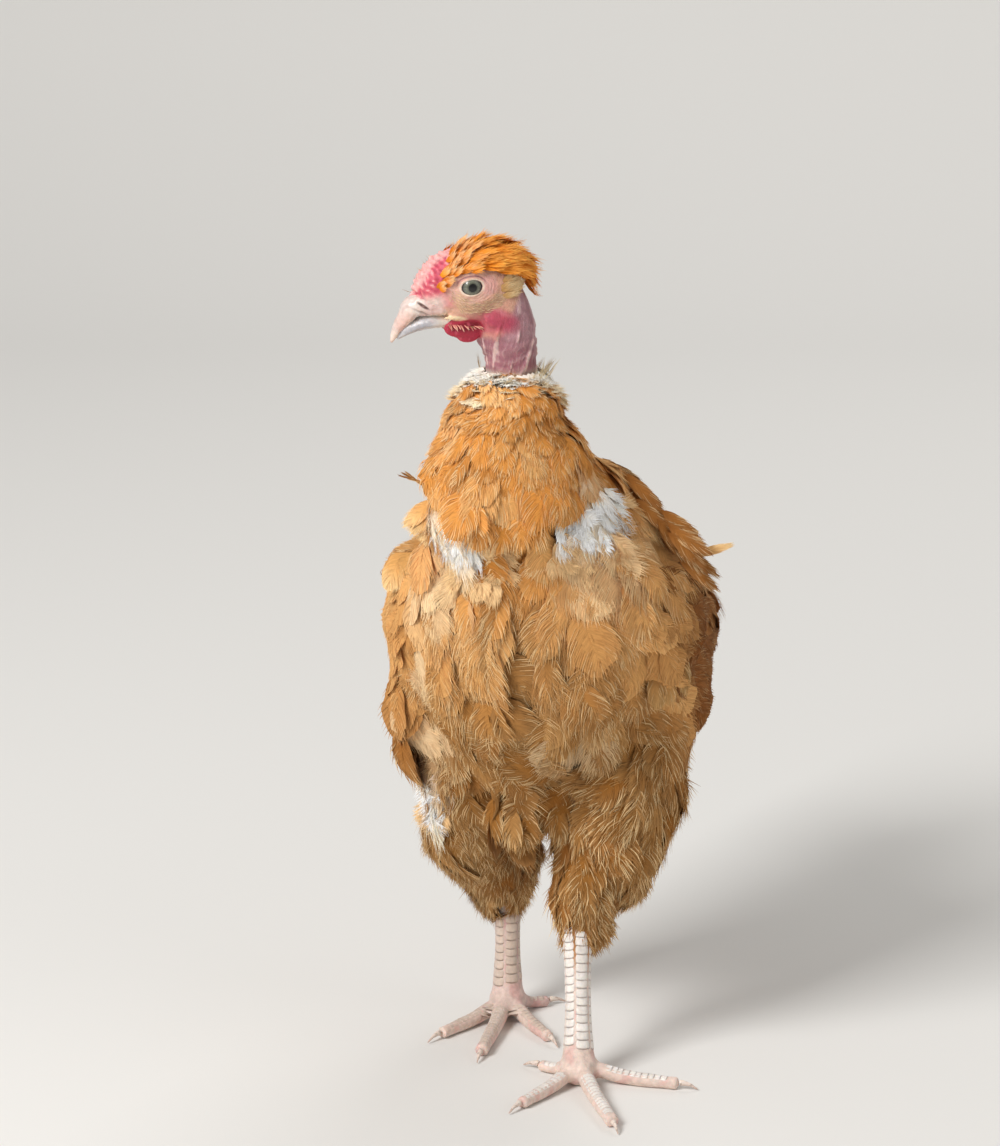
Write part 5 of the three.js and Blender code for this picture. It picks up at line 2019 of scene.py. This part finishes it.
def plates(name, tree, line, facing, pitch, lanes, tint, seed, rise=0.5):
    """Overlapping scutes along a line. A lane is its middle angle from the facing way and its half width."""
    draw = default_rng(seed)
    gaps = np.concatenate([[0], np.cumsum(np.linalg.norm(np.diff(line, axis=0), axis=1))])

    def on_line(at):
        at = np.clip(at, 0, gaps[-1])
        return np.stack([np.interp(at, gaps, line[:, k]) for k in range(3)], -1)

    rows, cols = 6, 7
    v, u = np.meshgrid(np.linspace(0, 1, rows), np.linspace(-1, 1, cols), indexing="ij")
    points, tints = [], []
    for lane, (middle, half) in enumerate(lanes):
        shift = 0.5 * pitch * (lane % 2)
        for k in range(int((gaps[-1] - shift) / pitch)):
            first = shift + k * pitch + draw.normal(0, 0.05) * pitch
            at = first + pitch * 1.24 * (v * (1 - 0.2 * u**2) + 0.05 * u**2)
            squeeze = 1 - 0.07 * np.abs(2 * v - 1) ** 3
            angle = np.radians(middle + half * u * squeeze)
            centre, ahead = on_line(at), unit(on_line(at + 1) - on_line(at - 1))
            front = unit(facing - ahead * (ahead @ facing)[..., None])
            beside = np.cross(ahead, front)
            out = front * np.cos(angle)[..., None] + beside * np.sin(angle)[..., None]
            hits = np.empty_like(centre)
            for i in np.ndindex(rows, cols):
                hit = tree.ray_cast(Vector(centre[i] + out[i] * 10), Vector(-out[i]), 10)[0]
                hits[i] = centre[i] + out[i] * 4 if hit is None else hit
            dome = (1 - u**4) * np.sin(np.pi * np.clip(0.12 + 0.8 * v, 0, 1)) ** 0.5
            top = hits + out * (rise * dome * (0.45 + 0.55 * v) - 0.12)[..., None]
            inner = (slice(1, -1), slice(1, -1))
            points.append(np.concatenate([top.reshape(-1, 3), (top - out * 0.5)[inner].reshape(-1, 3)]))
            edge = 0.45 * np.maximum(np.abs(u), np.abs(2 * v - 1)) ** 6
            tone = np.tile(linear(tint) * (1 + draw.normal(0, 0.05)), (rows * cols, 1))
            tone = mix(tone, "#b9998c", edge.ravel())
            tints.append(np.concatenate([tone, tone.reshape(rows, cols, 3)[inner].reshape(-1, 3)]))
    quads = slab_faces(rows, cols)
    per = len(points[0])
    faces = (quads + np.arange(len(points))[:, None, None] * per).reshape(-1, 4)
    thing = outward(mesh_object(name, np.concatenate(points), [faces]))
    paint(thing, np.concatenate(tints))
    return thing


class HEN_OT_scutes(bpy.types.Operator):
    """Makes the scutes of the shanks and toes"""

    bl_idname = "hen.scutes"
    bl_label = "Scutes"

    def execute(self, context):
        tree = surface(bpy.data.objects["skin"])
        material = horn_material("leg_scute")
        for number, (side, (top, foot)) in enumerate(SHANKS.items()):
            # the right leg stands further back, and its scutes are painted darker: painted shade
            tint = ("#f1e8e0", "#d8c3b3")[number]
            line = HEN_AT + np.linspace(np.array(top, float), np.array(foot, float), 40)[:37]
            front = unit(TRUNK_AXES[1] * -1.0)
            lanes = ((-31, 34), (31, 34), (-88, 27), (88, 27))
            things = [plates("shank_scutes", tree, line, front, 4.3, lanes, tint, 181 + number)]
            for kind in TOE_KINDS:
                path = toe_line(side, kind)
                things.append(plates("toe_scutes", tree, path, UP, 3.2, ((0, 78),), tint, 185 + number, 0.35))
            thing = joined(things, f"scutes_{side}")
            finish_piece(thing, material)
        return {"FINISHED"}


class HEN_OT_claws(bpy.types.Operator):
    """Makes the claws"""

    bl_idname = "hen.claws"
    bl_label = "Claws"

    def execute(self, context):
        material = horn_material("keratin_claw")
        for side in SIDES:
            nodes = [f"claw_{side}_{kind}" for kind in TOE_KINDS]
            thing = voxels(node_copy(nodes, f"claws_{side}", 0.12), 0.34)
            relax_object(thing, 5)
            points = points_of(thing)
            paint(thing, layered(np.tile(linear("#cdb4a6"), (len(points), 1)), (
                ("#e9d9cc", step(1.5, 4.0, points[:, 2])),
                ("#8d7566", step(0.2, 1.2, wander(points, 3, 171)) * 0.5),
            )))
            finish_piece(thing, material, nodes)
        return {"FINISHED"}


# ---------------------------------------------------------------- stage


class HEN_OT_stage(bpy.types.Operator):
    """Sets the pale floor, the soft lights and the camera"""

    bl_idname = "hen.stage"
    bl_label = "Stage"

    def execute(self, context):
        stage = context.scene.hen_stage
        set_floor()
        set_lights(stage)
        set_camera()
        return {"FINISHED"}


def set_floor():
    """A pale floor that curves up a little behind the hen, too low to hide it from behind."""
    ahead, behind_it, aside, radius = 4000, 1500, 5000, 900
    turn = np.radians(np.linspace(0, 38, 13))
    bend = np.stack([behind_it + radius * np.sin(turn), radius - radius * np.cos(turn)], 1)
    profile = np.concatenate([[(-ahead, 0)], bend])
    points = np.array([(x, y, z) for y, z in profile for x in (-aside, aside)])
    floor = mesh_object("floor", points, [grid_quads(len(profile), 2, closed=False)])
    material, _, shader = new_material("painted_plaster")
    set_inputs(shader, Base_Color=(*linear("#e9e7e3"), 1), Roughness=0.9)
    floor.data.materials.append(material)


def set_lights(stage):
    """Even light from all sides, and three soft lamps round the hen."""
    scene = bpy.context.scene
    scene.world = scene.world or bpy.data.worlds.new("studio")
    scene.world.use_nodes = True
    background = scene.world.node_tree.nodes["Background"]
    background.inputs["Color"].default_value = (*linear("#faf8f5"), 1)
    background.inputs["Strength"].default_value = stage.fill
    scene.view_settings.view_transform = "Standard"
    aim = Vector((0, -0.02, 0.24))
    for name, place, size, power in [
        ("key", (-1.5, -1.5, 1.9), 1.0, stage.key),
        ("side", (1.9, -1.0, 1.2), 1.6, stage.side),
        ("rim", (0.7, 1.6, 1.7), 1.1, stage.rim),
    ]:
        light = bpy.data.lights.new(name, "AREA")
        light.energy, light.size = power, size
        lamp = placed(name, light)
        lamp.location = place
        lamp.rotation_euler = (aim - Vector(place)).to_track_quat("-Z", "Y").to_euler()


def set_camera():
    """A long lens 2.5 m off and 16 degrees above the hen's middle."""
    rise, away = math.radians(16), 2500
    aim = HEN_AT + np.array([-24, 0, 250])
    camera = bpy.data.cameras.new("camera")
    camera.sensor_fit, camera.sensor_width, camera.lens = "HORIZONTAL", 36, 180
    camera.clip_end = 50
    eye = placed("camera", camera)
    eye.location = Vector((aim + away * np.array([0, -math.cos(rise), math.sin(rise)])) * MM)
    eye.rotation_euler = (math.pi / 2 - rise, 0, 0)
    bpy.context.scene.camera = eye


# ---------------------------------------------------------------- settings and panel


class HenPlumageSettings(bpy.types.PropertyGroup):
    depth: bpy.props.FloatProperty(
        name="Coat depth", description="How far the skin lies under the body's plumage",
        default=4.6 * MM, min=0, unit="LENGTH",
    )


class HenStageSettings(bpy.types.PropertyGroup):
    fill: bpy.props.FloatProperty(
        name="Fill", description="Strength of the even light from all sides", default=0.36, min=0
    )
    key: bpy.props.FloatProperty(
        name="Key light", description="Power of the large soft light at the hen's right",
        default=62, min=0, unit="POWER",
    )
    side: bpy.props.FloatProperty(
        name="Side light", description="Power of the soft light at the hen's left",
        default=6, min=0, unit="POWER",
    )
    rim: bpy.props.FloatProperty(
        name="Rim light", description="Power of the light behind the hen", default=12, min=0, unit="POWER"
    )


OPERATORS = [
    HEN_OT_stage, HEN_OT_skin, HEN_OT_beak, HEN_OT_eyes, HEN_OT_claws, HEN_OT_scutes,
    HEN_OT_plumage, HEN_OT_head_plumage, HEN_OT_stiff_feathers,
]


class HEN_PT_build(bpy.types.Panel):
    """Lists the steps that build the hen"""

    bl_label = "Hen"
    bl_idname = "HEN_PT_build"
    bl_space_type = "VIEW_3D"
    bl_region_type = "UI"
    bl_category = "Hen"

    def draw(self, context):
        for settings in (context.scene.hen_plumage, context.scene.hen_stage):
            box = self.layout.box()
            for key in settings.__annotations__:
                box.prop(settings, key)
        for operator in OPERATORS:
            self.layout.operator(operator.bl_idname)


SETTINGS = {"hen_plumage": HenPlumageSettings, "hen_stage": HenStageSettings}


def register():
    for cls in [*SETTINGS.values(), *OPERATORS, HEN_PT_build]:
        bpy.utils.register_class(cls)
    for name, cls in SETTINGS.items():
        setattr(bpy.types.Scene, name, bpy.props.PointerProperty(type=cls))


def unregister():
    for name in SETTINGS:
        delattr(bpy.types.Scene, name)
    for cls in reversed([*SETTINGS.values(), *OPERATORS, HEN_PT_build]):
        bpy.utils.unregister_class(cls)


def main():
    register()
    for operator in OPERATORS:
        group, name = operator.bl_idname.split(".")
        getattr(getattr(bpy.ops, group), name)()
    for thing in OUTSIDE.values():
        bpy.data.objects.remove(thing)


if __name__ == "__main__":
    main()
